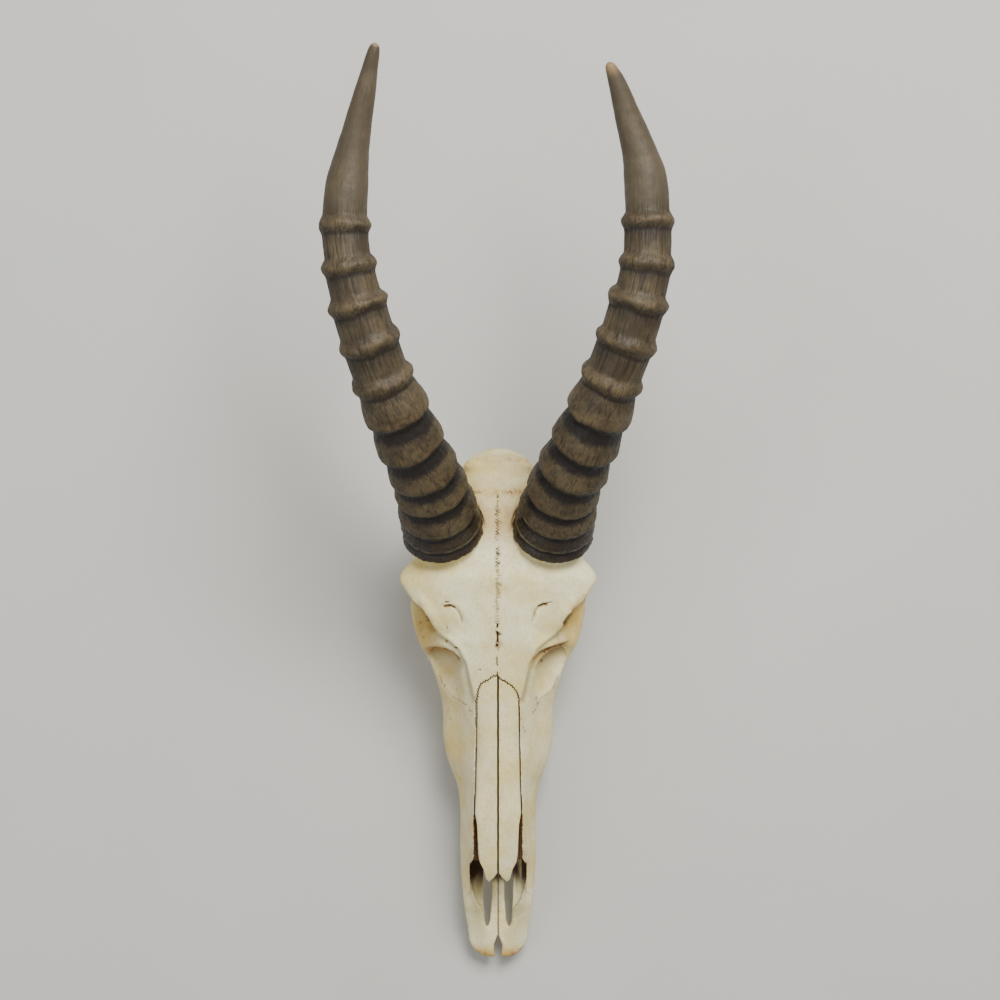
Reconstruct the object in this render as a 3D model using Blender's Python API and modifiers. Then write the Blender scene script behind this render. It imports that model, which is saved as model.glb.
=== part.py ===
# Topi skull without its lower jaw, lying on its cheek teeth and on the two processes behind the ears.
# The nose points along -Y, the horns sweep back and up along +Y, and Z = 0 is the surface it lies on.
# Tables are in millimetres, as one would measure a skull, and MM turns them into metres.
import math

import bmesh
import bpy
from mathutils import Matrix, Vector

MM = 0.001
GAP = 0.3  # between neighbouring pieces
VOXEL = 1.7  # of the fused bone before it is thinned
BONE_FACES = 4250  # triangles that the fused bone keeps
SECTION_STEP = 4.0  # between cross-sections along the skull
RING_POINTS = 40  # round one cross-section
NOSE_POINTS = 24
BAR_SIDES = 16
PEDICLE_SIDES = 28
RIM_KNOTS = 14
HORN_SIDES = 16
BELOW, ABOVE = -30, 150  # heights clear of all the bone
SIDES = {"left": -1, "right": 1}

# Cross-sections from nose to occiput: y, roof height, half width of the roof, fall of the roof to its edge,
# greatest half width, its height, half width of the lower edge, its height, half width of the palate, its height
SKULL = [
    (-331.5, 18, 6, 1, 10, 14, 9, 11, 4, 11),
    (-327, 19.5, 9, 1, 17.6, 15, 15, 10, 8, 11),
    (-319, 21.5, 10, 0.5, 22, 17, 19.5, 10, 12, 12),
    (-310, 23, 11, -2, 23, 20, 20, 12, 13, 14),
    (-299, 24.5, 12.5, -6, 24.6, 26, 21, 14, 14, 16),
    (-290, 30, 14, -8.5, 25.8, 30, 21.5, 15.5, 15, 17.5),
    (-281, 48, 14.5, 0, 26.9, 30, 22.5, 17, 15.5, 19),
    (-271, 61, 14.5, 3, 27.8, 29, 23, 18, 16, 20),
    (-261, 67.5, 15, 3, 28.6, 28, 23, 19, 16, 21),
    (-241, 73.5, 16.5, 3, 28.8, 29, 24, 19, 17, 22),
    (-217, 80, 17.5, 4, 28.6, 32, 25, 19, 17, 23),
    (-200, 83.5, 17, 5, 30, 36, 27, 18, 17, 24),
    (-190, 85.5, 17, 6, 33.4, 40, 30, 16, 18, 25),
    (-178, 88, 17, 7, 38, 43, 33, 14, 19, 26),
    (-160, 91.5, 17, 8, 41.2, 45, 34.5, 13, 20, 27),
    (-144, 94.5, 17.5, 6.5, 41.3, 48, 35, 13, 21, 28),
    (-131, 97, 18.5, 6, 42.8, 53, 35, 13, 22, 28),
    (-119, 99.5, 21.5, 5.5, 45.7, 58, 35, 14, 22, 29),
    (-105, 102.5, 27, 5, 50.5, 60, 35, 17, 20, 30),
    (-96, 104.5, 32, 5, 56, 60, 36, 22, 18, 31),
    (-88, 106.5, 38, 6, 60, 58, 38, 32, 16, 34),
    (-80, 108, 36, 8, 61.5, 55, 40, 41, 14, 37),
    (-71, 109.5, 34, 9, 55, 54, 32, 44, 13, 38),
    (-62, 111, 33, 9, 40, 64, 24, 42, 12, 39),
    (-50, 112.5, 34, 10, 37, 78, 23, 39, 12, 38),
    (-36, 113, 36, 10, 38, 76, 26, 38, 14, 38),
    (-20, 109.5, 34, 10, 39.5, 70, 30, 38, 14, 37),
    (0, 102.5, 31, 11, 40, 64, 32, 37, 14, 36),
    (20, 95, 28, 11, 36.5, 60, 31, 36, 14, 34),
    (36, 88, 24, 10, 30, 58, 27, 36, 14, 33),
    (45, 80, 22.5, 9, 25, 56, 21, 38, 12, 34),
    (51, 70, 15.5, 8, 18.5, 55, 15, 41, 9, 38),
    (55.5, 61, 4, 4, 7, 54, 6, 46, 3, 44),
]
PALATE_SLOPE = 4  # from the inner edge of the tooth row to the flat of the palate

# The shelf over the eyes: y, half width, height on the midline, height and thickness of its edge
BROW = [
    (-90, 30, 105, 97, 6),
    (-84, 40, 106.5, 98, 7),
    (-76, 47.5, 108, 99, 7),
    (-67, 53.5, 110, 100.5, 7),
    (-59, 61, 111, 101, 7),
    (-50, 68, 112.5, 101, 7.5),
    (-40, 72.6, 114, 100, 8),
    (-31, 67, 112, 97, 8),
    (-22, 58, 109.5, 94, 9),
    (-8, 42, 103, 88, 10),
]

# Hollow of the nose: y, floor height, half width at the floor, ceiling height, half width at the ceiling
NOSE_HOLLOW = [
    (-300, 22, 8, 30, 8),
    (-285, 22.5, 13, 42, 14),
    (-270, 24, 15, 58, 13),
    (-255, 25, 17, 63.5, 13.5),
    (-240, 26, 18, 69, 14),
    (-217, 27.5, 18, 75.5, 14),
    (-195, 29, 19, 80, 14),
    (-170, 31, 20, 85.5, 14),
    (-145, 32.5, 20, 90, 14),
    (-128, 33.5, 18, 92, 14),
    (-116, 35, 14, 86, 13),
    (-98, 36, 10, 70, 10),
    (-80, 36, 7, 55, 7),
]

# Plan outlines of one side, x and y from the midline at the back to the midline at the front
NASAL = [
    (0, -113.4), (4.4, -114), (14.7, -121.6), (15.5, -131), (15.7, -164), (16.4, -196),
    (17.2, -215), (15.6, -224), (14.5, -247), (13.6, -253), (10.6, -259), (9, -266), (6.8, -268.5), (3, -265),
    (0, -260.5),
]
NASAL_SEAT = [
    (0, -113.1), (4.6, -113.7), (15.1, -121.3), (15.9, -131), (16.1, -164), (16.8, -196),
    (17.8, -215), (18.3, -221), (18.7, -250), (18.9, -254), (0, -254),
]
APERTURE = [
    (0, -252), (18.6, -252), (21.4, -259), (21, -267), (19.4, -277), (17, -285.5), (14.5, -289.5),
    (11.8, -292), (10.6, -303), (7, -309.5), (0, -313),
]
APERTURE_FLOOR = 23.5
PALATE_SLIT = [(4.8, -262), (11.2, -262), (11.4, -285), (10.3, -303), (8.5, -309.2), (6.1, -303), (4.6, -285)]
PREMAXILLA = [(0, -345), (45, -345), (45, -245), (0, -245)]
PRONG = (8, -265)  # half width and back end of the two bones' tongues along the midline
# The seam to the upper jaw slants up and back: y and height at its foot and at its top
SEAM_FOOT, SEAM_TOP = (-330, -31), (-252.5, 75)
SEAM_SHIFT = 0.39  # along y, which makes it GAP wide
SEAM_REACH = 55  # to each side, past all the bone
SLIT_TOP = 60
TIP_NOTCH = [(0, -312.6), (2.0, -318), (3.3, -321.5), (3.0, -327), (2.6, -336), (0, -336)]
SEAM_DEPTH = 7  # of the nasal bones' edges
SEAM_ROOM = 3  # under those edges

# The eye sockets, given for the right side
ORBIT_CENTRE = (54.2, -62.5, 80)
ORBIT_OUT = (0.828, -0.546, 0.125)
ORBIT_FORWARD = (-0.551, -0.835, 0)
ORBIT_LONG = 23.5
ORBIT_TALL = 23
RIM_THICK = 4
ORBIT_BOWL = (21, 19, 26)
ORBIT_SINK = 6
ORBIT_RISE = 2  # of the bowl's middle over the rim's

# The cheek arch from the lower rim of the socket to the ear, with half its breadth and half its depth
ARCH = [
    (52, -92, 57, 5, 8), (58.5, -78, 54, 4.5, 8), (62, -62, 51.5, 3.6, 7), (63, -44, 50.5, 3.4, 6),
    (60, -25, 50, 3.6, 6), (53, -8, 49, 5, 5.5), (40, 3, 48, 8, 5),
]

# Round masses of one side: centre, radii
MASSES = [
    ((42, -4, 46), (13, 11, 4.5)),
    ((37, 15, 50), (9, 9, 10)),
    ((13, 40, 40), (8.5, 10.5, 12.5)),
    ((47, -71, 57.5), (15, 20, 5.5)),
    ((20, 8, 38), (8, 13, 10)),
    ((16, 42, 74), (10, 6, 9)),
    ((12, -58, 38), (3.2, 30, 13)),
]
MIDLINE_MASSES = [
    ((0, 0, 38), (13, 48, 6)),
    ((0, 44, 77), (22, 5.5, 6)),
]

# The blades behind the ears that the skull lies on, down to Z = 0: points, half breadth and half length
PROCESS = [
    (33, 30, 56, 7, 12), (31.5, 32, 40, 5, 11), (30, 33, 24, 3.6, 8.5), (28.5, 33, 10, 3.2, 6.5), (27.5, 32, -4, 3, 5),
]

# Hollows cut into one side: centre, radii
FOSSAE = [((38.5, -121, 80.3), (11.5, 27, 15)), ((41.5, -107.5, 82), (11.3, 15.5, 19))]
FOSSA_TILT = -34  # degrees about Y, so that it lies along the slope of the face
EAR = ((46, 17, 51), (9, 3.6, 3.6))
FORAMEN_MAGNUM = ((0, 52, 46), (9, 34, 9))
CHOANA = ((0, -84, 32), (8.5, 24, 13))

# Horns: centre line and radius of each lip from the seat up, then the plain tip
HORN_LEFT_LIPS = [
    (-40.6, -5.8, 100, 30.4), (-41.9, 1.2, 108.5, 29.8), (-44.2, 11.5, 121, 29.2), (-48.3, 25.7, 137.7, 27.4),
    (-53.7, 39.4, 152.7, 26), (-62.4, 58.4, 170.7, 25.3), (-71.5, 80.4, 187.5, 24.3), (-80.8, 102.3, 200.3, 23),
    (-89.7, 127.7, 210.6, 22.4), (-97.4, 153.8, 217.2, 21.9), (-103.4, 179.4, 220.5, 19.9),
    (-106.4, 207.6, 221.2, 18.5),
]
HORN_LEFT_TIP = [
    (-104.9, 235, 222, 15.2), (-100.9, 258.4, 224.5, 11.8), (-96.2, 280, 229.2, 9.4), (-91, 301.6, 236, 7.3),
    (-88.1, 314.2, 240.3, 5.6), (-85.3, 325.5, 245, 4.2), (-83.8, 330.6, 247.3, 2.4),
]
HORN_RIGHT_LIPS = [
    (40.4, -5.8, 100, 30.4), (41.6, 1, 108.2, 29.8), (43.8, 11.3, 120.6, 28.8), (47.3, 24.8, 136.4, 27.3),
    (54.2, 40.7, 154.1, 26.3), (62, 58.8, 171, 25.2), (71.5, 80.5, 187.8, 24.4), (80.1, 102.3, 200.3, 23.1),
    (89.6, 128.2, 210.9, 22.5), (97.7, 155.6, 217.9, 22), (103.2, 181.3, 221.2, 20.1),
    (104.1, 210.5, 221.9, 18.8),
]
HORN_RIGHT_TIP = [
    (102.4, 239.9, 222.7, 15.2), (98.1, 258.4, 224.9, 12.3), (89.9, 282.6, 230.2, 9.2), (81.8, 305.8, 237.7, 6),
    (77.8, 314.3, 241.3, 4), (75.9, 318, 243, 2.4),
]
WAIST = 0.885  # of the next lip's radius, just under it
FADE = (0.42, 0.4)  # this far up a ring, this much of the lip below still shows
# Round a lip: places counted in steps from it, and how much of its swelling stands there
LIP_SHAPE = [(-2, 0), (-0.45, 0.87), (0.55, 1)]
# The lips nearest the tip are round beads: places from the bead and how much of its swelling stands there
BEADS = 5
BEAD_SHAPE = [(-6, 0), (-1.8, 0.9), (1.8, 0.9), (7.5, 0)]
LONG_RING = 14  # a ring longer than this has a taller step
LIP_STEP = {"long": 1.9, "short": 1.2}
SEAT_EDGE = (0.95, 1.6)  # the lowest edge: share of its lip's radius, and how far above it the lip is
SEAT_STRAIGHT = 6  # the foot of a horn stands square to its seat
PEDICLE_ROOT = (29, -10, 66)
PEDICLE_RADII = (33, 28)  # at its root and at the horn's seat
PEDICLE_OVER = 7
SEAT_CUT = (31.3, 70)  # radius and height of what is cleared above a horn's seat

# Cheek teeth, front to back: name, length along the row, width
TEETH = [
    ("p2", 10.5, 8.5), ("p3", 12.5, 10.5), ("p4", 12.5, 12), ("m1", 16.5, 13.2), ("m2", 20, 13.6),
    ("m3", 20.5, 12.8),
]
ROW = [(24.6, -199.5), (27.4, -163), (27.2, -106)]
TOOTH_TOP = 18.5
# The trench of a tooth row: height, places along it, half width at its front, flare, greatest half width
SOCKET_TOP = 19
SOCKET_PLACES = [-0.3, 22, 40, 65, 92.8]
SOCKET_FRONT, SOCKET_FLARE, SOCKET_HALF = 4.9, 0.062, 7.3

BONE_COLOUR = (0.74, 0.68, 0.53, 1)
NASAL_COLOUR = (0.78, 0.71, 0.55, 1)
HORN_COLOUR = (0.10, 0.075, 0.05, 1)
TOOTH_COLOUR = (0.66, 0.58, 0.42, 1)


def clear_scene():
    for ob in list(bpy.data.objects):
        bpy.data.objects.remove(ob, do_unlink=True)


def new_collection(name):
    group = bpy.data.collections.new(name)
    bpy.context.scene.collection.children.link(group)
    return group


def material(name, colour, roughness):
    mat = bpy.data.materials.new(name)
    mat.use_nodes = True
    shader = mat.node_tree.nodes["Principled BSDF"]
    shader.inputs["Base Color"].default_value = colour
    shader.inputs["Roughness"].default_value = roughness
    shader.inputs["Metallic"].default_value = 0.0
    return mat


def spline(rows, at):
    """Each value of rows, read at a place along the first column, on a smooth curve through the rows."""
    k = 0
    while k < len(rows) - 2 and rows[k + 1][0] < at:
        k += 1
    a, b = rows[k], rows[k + 1]
    before, after = rows[max(k - 1, 0)], rows[min(k + 2, len(rows) - 1)]
    span = b[0] - a[0]
    t = (at - a[0]) / span
    out = []
    for i in range(1, len(a)):
        slope_a = (b[i] - before[i]) / (b[0] - before[0]) * span
        slope_b = (after[i] - a[i]) / (after[0] - a[0]) * span
        out.append(
            (2 * t**3 - 3 * t**2 + 1) * a[i]
            + (t**3 - 2 * t**2 + t) * slope_a
            + (3 * t**2 - 2 * t**3) * b[i]
            + (t**3 - t**2) * slope_b
        )
    return out


def closed_curve(points, count):
    """count points, evenly spaced, on a smooth closed curve through points in a plane."""
    n = len(points)
    fine = []
    for k in range(n):
        p = [Vector(points[(k + i) % n]) for i in (-1, 0, 1, 2)]
        for step in range(8):
            t = step / 8
            fine.append(
                0.5
                * (
                    2 * p[1]
                    + (p[2] - p[0]) * t
                    + (2 * p[0] - 5 * p[1] + 4 * p[2] - p[3]) * t**2
                    + (3 * p[1] - p[0] - 3 * p[2] + p[3]) * t**3
                )
            )
    lengths = [0.0]
    for a, b in zip(fine, fine[1:] + fine[:1]):
        lengths.append(lengths[-1] + (b - a).length)
    out, k = [], 0
    for i in range(count):
        want = lengths[-1] * i / count
        while lengths[k + 1] < want:
            k += 1
        t = (want - lengths[k]) / (lengths[k + 1] - lengths[k])
        out.append(fine[k].lerp(fine[(k + 1) % len(fine)], t))
    return out


def mirrored(half):
    """A whole outline from the half at +X, whose first and last points are on the midline."""
    return list(half) + [(-x, z) for x, z in reversed(half[1:-1])]


def object_from(name, bm, group):
    """A new object that takes its mesh from bm."""
    mesh = bpy.data.meshes.new(name)
    bmesh.ops.recalc_face_normals(bm, faces=bm.faces)
    bm.to_mesh(mesh)
    bm.free()
    ob = bpy.data.objects.new(name, mesh)
    group.objects.link(ob)
    return ob


def loft(name, rings, group):
    """A closed skin over rings of equal count, points in millimetres."""
    bm = bmesh.new()
    loops = [[bm.verts.new(Vector(p) * MM) for p in ring] for ring in rings]
    for low, high in zip(loops, loops[1:]):
        for i in range(len(low)):
            j = (i + 1) % len(low)
            bm.faces.new((low[i], low[j], high[j], high[i]))
    for end in (loops[0], loops[-1]):
        bmesh.ops.triangulate(bm, faces=[bm.faces.new(end)])
    return object_from(name, bm, group)


def section_loft(name, rows, half_of, group, points=RING_POINTS):
    """A skin over cross-sections that half_of draws from the values of rows at each y."""
    first, last = rows[0][0], rows[-1][0]
    count = math.ceil((last - first) / SECTION_STEP)
    rings = []
    for k in range(count + 1):
        y = first + (last - first) * k / count
        outline = closed_curve(mirrored(half_of(*spline(rows, y))), points)
        rings.append([(p.x, y, p.y) for p in outline])
    return loft(name, rings, group)


def ring_of(centre, across, up, count):
    """Points on an ellipse with these two half axes."""
    turns = [2 * math.pi * k / count for k in range(count)]
    return [centre + across * math.cos(a) + up * math.sin(a) for a in turns]


def skull_half(roof, roof_w, fall, wide, wide_z, low_w, low_z, palate_w, palate_z):
    edge = (roof_w, roof - fall)
    middle = ((edge[0] + wide) / 2, (edge[1] + wide_z) / 2)
    return [
        (0, roof), (roof_w * 0.6, roof - fall * 0.2), edge, middle, (wide, wide_z), (low_w, low_z),
        (palate_w, low_z), (palate_w - PALATE_SLOPE, palate_z), (0, palate_z),
    ]


def brow_half(width, crown, edge, thick):
    return [
        (0, crown), (width * 0.55, crown * 0.75 + edge * 0.25), (width - 4, edge + 1.5), (width, edge - thick * 0.4),
        (width - 3, edge - thick), (width * 0.5, edge - thick * 1.4), (0, edge - thick * 1.6),
    ]


def hollow_half(floor, floor_w, ceiling, ceiling_w):
    return [
        (0, ceiling), (ceiling_w, ceiling - 2), ((ceiling_w + floor_w) / 2 + 1, (ceiling + floor) / 2),
        (floor_w, floor + 2), (0, floor),
    ]


def prism(name, outline, side, low, high, group):
    """An upright block over one side's plan outline. low is a height or a function of y."""
    bm = bmesh.new()
    bottom = []
    for x, y in outline:
        z = low(y) if callable(low) else low
        bottom.append(bm.verts.new(Vector((side * x, y, z)) * MM))
    top = [bm.verts.new(Vector((side * x, y, high)) * MM) for x, y in outline]
    n = len(outline)
    for i in range(n):
        bm.faces.new((bottom[i], bottom[(i + 1) % n], top[(i + 1) % n], top[i]))
    for end in (bottom, top):
        bmesh.ops.triangulate(bm, faces=[bm.faces.new(end)])
    return object_from(name, bm, group)


def side_block(name, outline, inner, outer, group):
    """A block over an outline in y and height, between two distances from the midline plane."""
    rings = [[(x, y, z) for y, z in outline] for x in (inner, outer)]
    return loft(name, rings, group)


def both_sides(half):
    """A plan outline across the midline, from the half at +X."""
    return list(half) + [(-x, y) for x, y in reversed(half) if x > 0]


def ball(name, centre, radii, group, turn=Matrix.Identity(3), fine=16):
    bm = bmesh.new()
    bmesh.ops.create_uvsphere(bm, u_segments=fine * 2, v_segments=fine, radius=1.0)
    size = Matrix.Diagonal((*radii, 1.0))
    place = Matrix.Translation(Vector(centre) * MM) @ turn.to_4x4() @ Matrix.Scale(MM, 4) @ size
    bmesh.ops.transform(bm, matrix=place, verts=bm.verts)
    return object_from(name, bm, group)


def hoop(name, points, radius, group):
    """A closed round ring along points, made from a curve and turned into a mesh."""
    curve = bpy.data.curves.new(name, "CURVE")
    curve.dimensions = "3D"
    curve.bevel_depth = MM
    curve.bevel_resolution = 3
    line = curve.splines.new("NURBS")
    line.order_u = 3
    line.use_cyclic_u = True
    line.points.add(len(points) - 1)
    for k, p in enumerate(points):
        line.points[k].co = (*(Vector(p) * MM), 1)
        line.points[k].radius = radius
    drawn = bpy.data.objects.new(name, curve)
    group.objects.link(drawn)
    bpy.context.view_layer.update()
    mesh = bpy.data.meshes.new_from_object(drawn.evaluated_get(bpy.context.evaluated_depsgraph_get()))
    bpy.data.objects.remove(drawn)
    bm = bmesh.new()
    bm.from_mesh(mesh)
    bpy.data.meshes.remove(mesh)
    bmesh.ops.remove_doubles(bm, verts=bm.verts, dist=1e-6)
    return object_from(name, bm, group)


def orbit_frame(side):
    """Directions along the socket's rim, up it and out of it, for one side."""
    out = Vector(ORBIT_OUT).normalized()
    forward = Vector(ORBIT_FORWARD).normalized()
    up = forward.cross(out)
    turn = Matrix((forward, up, out)).transposed()
    flip = Matrix.Diagonal((side, 1, 1))
    return flip @ turn


def orbit_rim(side, group):
    turn = orbit_frame(side)
    centre = Vector(at_side(ORBIT_CENTRE, side))
    points = ring_of(centre, turn.col[0] * ORBIT_LONG, turn.col[1] * ORBIT_TALL, RIM_KNOTS)
    return hoop("rim", points, RIM_THICK, group)


def at_side(point, side):
    return (side * point[0], *point[1:])


def run_lengths(rows):
    """How far along the line through rows each row lies."""
    run = [0.0]
    for a, b in zip(rows, rows[1:]):
        run.append(run[-1] + (Vector(b[:3]) - Vector(a[:3])).length)
    return run


def path_frames(rows, places):
    """Centre, two cross directions and the values past x, y, z at places along the smooth line through rows."""
    run = run_lengths(rows)
    table = [(s, *row) for s, row in zip(run, rows)]
    frames = []
    across = Vector((1, 0, 0))
    for s in places:
        s = min(s, run[-1])
        here = spline(table, s)
        ahead = Vector(spline(table, min(s + 1, run[-1]))[:3])
        behind = Vector(spline(table, max(s - 1, 0))[:3])
        along = (ahead - behind).normalized()
        across = (across - along * across.dot(along)).normalized()
        frames.append((Vector(here[:3]), across.copy(), along.cross(across), here[3:]))
    return frames


def bar(name, rows, group):
    """A closed bar of oval section along rows of x, y, z, half breadth, half depth."""
    length = run_lengths(rows)[-1]
    count = math.ceil(length / SECTION_STEP)
    rings = []
    for centre, across, up, half in path_frames(rows, [length * k / count for k in range(count + 1)]):
        rings.append(ring_of(centre, across * half[0], up * half[1], BAR_SIDES))
    return loft(name, rings, group)


def horn_profile(lips, tip):
    """Places along the horn and radii there: a low lip steps in sharply below and thins out above."""
    run = run_lengths(lips + tip)
    out = [(0.0, lips[0][3] * SEAT_EDGE[0]), (SEAT_EDGE[1], lips[0][3])]
    waists = [row[3] * WAIST for row in lips] + [tip[0][3]]
    first_bead = len(lips) - BEADS
    for k in range(1, len(lips)):
        low, high, waist = lips[k - 1][3], lips[k][3], waists[k]
        start, end = run[k - 1], run[k]
        if k <= first_bead:
            out.append((start + (end - start) * FADE[0], waist + (low - waist) * FADE[1]))
        if k < first_bead:
            step = LIP_STEP["long" if end - start > LONG_RING else "short"]
            for place, share in LIP_SHAPE:
                out.append((end + place * step, waist + (high - waist) * share))
            continue
        for place, share in BEAD_SHAPE:
            base = waists[k + 1] if place > 0 else waist
            out.append((end + place, base + (high - base) * share))
    for k, row in enumerate(tip):
        out.append((run[len(lips) + k], row[3]))
    return sorted(out)


def make_horn(name, lips, tip, group):
    profile = horn_profile(lips, tip)
    frames = path_frames(lips + tip, [s for s, _ in profile])
    foot, foot_across, foot_up, _ = frames[0]
    axis = foot_across.cross(foot_up)
    rings = []
    for (s, radius), (centre, across, up, _) in zip(profile, frames):
        if s < SEAT_STRAIGHT:
            centre, across, up = foot + axis * s, foot_across, foot_up
        rings.append(ring_of(centre, across * radius, up * radius, HORN_SIDES))
    horn = loft(name, rings, group)
    smooth(horn, 60)
    return horn


def horn_axis(lips):
    a, b = Vector(lips[0][:3]), Vector(lips[1][:3])
    return (b - a).normalized()


def pedicle(lips, side, group):
    """The bony stump that a horn stands on, left long and cut flat later where the horn seats."""
    seat = Vector(lips[0][:3])
    axis = horn_axis(lips)
    root = Vector(at_side(PEDICLE_ROOT, side))
    across = Vector((1, 0, 0))
    across = (across - axis * across.dot(axis)).normalized()
    up = axis.cross(across)
    rings = []
    for t in (0, 1 / 3, 2 / 3, 1):
        radius = PEDICLE_RADII[0] + (PEDICLE_RADII[1] - PEDICLE_RADII[0]) * t
        rings.append(ring_of(root.lerp(seat, t), across * radius, up * radius, PEDICLE_SIDES))
    rings.append([point + axis * PEDICLE_OVER for point in rings[-1]])
    return loft("pedicle", rings, group)


def seat_cutter(lips, group):
    """Clears the bone above a horn's seat."""
    axis = horn_axis(lips)
    bm = bmesh.new()
    radius, height = SEAT_CUT
    bmesh.ops.create_cone(
        bm, cap_ends=True, segments=24, radius1=radius * MM, radius2=radius * MM, depth=height * MM
    )
    centre = Vector(lips[0][:3]) + axis * (height / 2 - GAP)
    turn = axis.to_track_quat("Z", "Y").to_matrix().to_4x4()
    bmesh.ops.transform(bm, matrix=Matrix.Translation(centre * MM) @ turn, verts=bm.verts)
    return object_from("seat", bm, group)


def joined(name, objects, group):
    """One object from several, its shells still overlapping."""
    bm = bmesh.new()
    for ob in objects:
        bm.from_mesh(ob.data)
        mesh = ob.data
        bpy.data.objects.remove(ob)
        bpy.data.meshes.remove(mesh)
    mesh = bpy.data.meshes.new(name)
    bm.to_mesh(mesh)
    bm.free()
    ob = bpy.data.objects.new(name, mesh)
    group.objects.link(ob)
    return ob


def settled(ob):
    """Puts the result of an object's modifiers into its mesh."""
    bpy.context.view_layer.update()
    mesh = bpy.data.meshes.new_from_object(ob.evaluated_get(bpy.context.evaluated_depsgraph_get()))
    old = ob.data
    ob.modifiers.clear()
    ob.data = mesh
    bpy.data.meshes.remove(old)


def fuse(ob, rounds):
    """Melts overlapping shells into one skin and eases the creases between them."""
    remesh = ob.modifiers.new("fuse", "REMESH")
    remesh.mode = "VOXEL"
    remesh.voxel_size = VOXEL * MM
    ease = ob.modifiers.new("ease", "SMOOTH")
    ease.factor = 0.5
    ease.iterations = rounds
    settled(ob)


def cut(ob, cutter, how="DIFFERENCE"):
    tool = ob.modifiers.new(how.lower(), "BOOLEAN")
    tool.operation = how
    tool.object = cutter
    cutter.hide_render = True
    cutter.display_type = "WIRE"


def smooth(ob, degrees):
    ob.data.shade_smooth()
    ob.data.set_sharp_from_angle(angle=math.radians(degrees))


def fused_bone(group):
    """All the bone of the skull in one skin, before it is parted into its real pieces."""
    pieces = [
        section_loft("skull", SKULL, skull_half, group),
        section_loft("brow", BROW, brow_half, group),
    ]
    for centre, radii in MIDLINE_MASSES:
        pieces.append(ball("mass", centre, radii, group))
    for side in SIDES.values():
        pieces.append(orbit_rim(side, group))
        pieces.append(bar("arch", [at_side(row, side) for row in ARCH], group))
        pieces.append(bar("process", [at_side(row, side) for row in PROCESS], group))
        pieces.append(pedicle(HORN_LEFT_LIPS if side < 0 else HORN_RIGHT_LIPS, side, group))
        for centre, radii in MASSES:
            pieces.append(ball("mass", at_side(centre, side), radii, group))
    bone = joined("bone", pieces, group)
    fuse(bone, 6)
    return bone


def hollows(group):
    """Everything cut out of the fused bone."""
    tools = [
        section_loft("nose_hollow", NOSE_HOLLOW, hollow_half, group, NOSE_POINTS),
        ball("foramen", *FORAMEN_MAGNUM, group),
        ball("choana", *CHOANA, group),
    ]
    for side in SIDES.values():
        turn = orbit_frame(side)
        centre = Vector(at_side(ORBIT_CENTRE, side)) - turn.col[2] * ORBIT_SINK + turn.col[1] * ORBIT_RISE
        tools.append(ball("socket", centre, ORBIT_BOWL, group, turn))
        tilt = Matrix.Rotation(math.radians(FOSSA_TILT * side), 3, "Y")
        for fossa, radii in FOSSAE:
            tools.append(ball("fossa", at_side(fossa, side), radii, group, tilt))
        tools.append(ball("ear", at_side(EAR[0], side), EAR[1], group))
    return tools


def thin(ob, faces):
    """Takes the skin down to about this many triangles, keeping its shape."""
    ob.data.calc_loop_triangles()
    reduce = ob.modifiers.new("thin", "DECIMATE")
    reduce.ratio = faces / len(ob.data.loop_triangles)
    reduce.use_collapse_triangulate = True
    settled(ob)


def under_roof(depth):
    """The height this far under the skull's roof, as a function of y."""

    def height(y):
        return spline(SKULL, y)[0] - depth

    return height


def row_place(s):
    """A point at s along the tooth row, and the way the row runs there."""
    first = (Vector(ROW[1]) - Vector(ROW[0])).length
    if s < first:
        way = (Vector(ROW[1]) - Vector(ROW[0])).normalized()
        return Vector(ROW[0]) + way * s, way
    way = (Vector(ROW[2]) - Vector(ROW[1])).normalized()
    return Vector(ROW[1]) + way * (s - first), way


def tooth_outline(premolar, length, width):
    """Worn cheek tooth from above: two lobes on the tongue side, three ribs on the cheek side."""
    a, b = length / 2, width / 2
    if premolar:
        return [(-a, -0.45 * b), (-0.4 * a, -b), (0.5 * a, -b), (a, -0.4 * b), (a, 0.6 * b), (0.3 * a, 0.86 * b),
                (0, b), (-0.3 * a, 0.86 * b), (-a, 0.7 * b)]
    return [(-a, -0.35 * b), (-0.72 * a, -0.95 * b), (-0.3 * a, -0.98 * b), (0, -0.55 * b), (0.3 * a, -0.98 * b),
            (0.72 * a, -0.95 * b), (a, -0.35 * b), (a, 0.9 * b), (0.5 * a, 0.72 * b), (0.06 * a, b),
            (-0.5 * a, 0.72 * b), (-a, 0.95 * b)]


def make_tooth(name, side, start, length, width, group):
    """One tooth of the row; its worn face is flat at Z = 0."""
    place, way = row_place(start + length / 2)
    outward = Vector((way.y, -way.x))
    outline = []
    for along, out in tooth_outline("_p" in name, length - GAP, width):
        outline.append(place + way * along + outward * out)
    tooth = prism(name, outline, side, 0, TOOTH_TOP, group)
    smooth(tooth, 40)
    return tooth


def socket_cutter(side, group):
    """The trench that one row of teeth stands in."""
    edges = ([], [])
    for s in SOCKET_PLACES:
        place, way = row_place(s)
        outward = Vector((way.y, -way.x))
        half = min(SOCKET_HALF, SOCKET_FRONT + SOCKET_FLARE * max(s, 0))
        edges[0].append(place + outward * half)
        edges[1].append(place - outward * half)
    return prism("socket", edges[0] + edges[1][::-1], side, BELOW, SOCKET_TOP, group)


def copy_of(bone, name, group, mat):
    ob = bpy.data.objects.new(name, bone.data.copy())
    ob.data.materials.clear()
    ob.data.materials.append(mat)
    group.objects.link(ob)
    return ob


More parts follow.
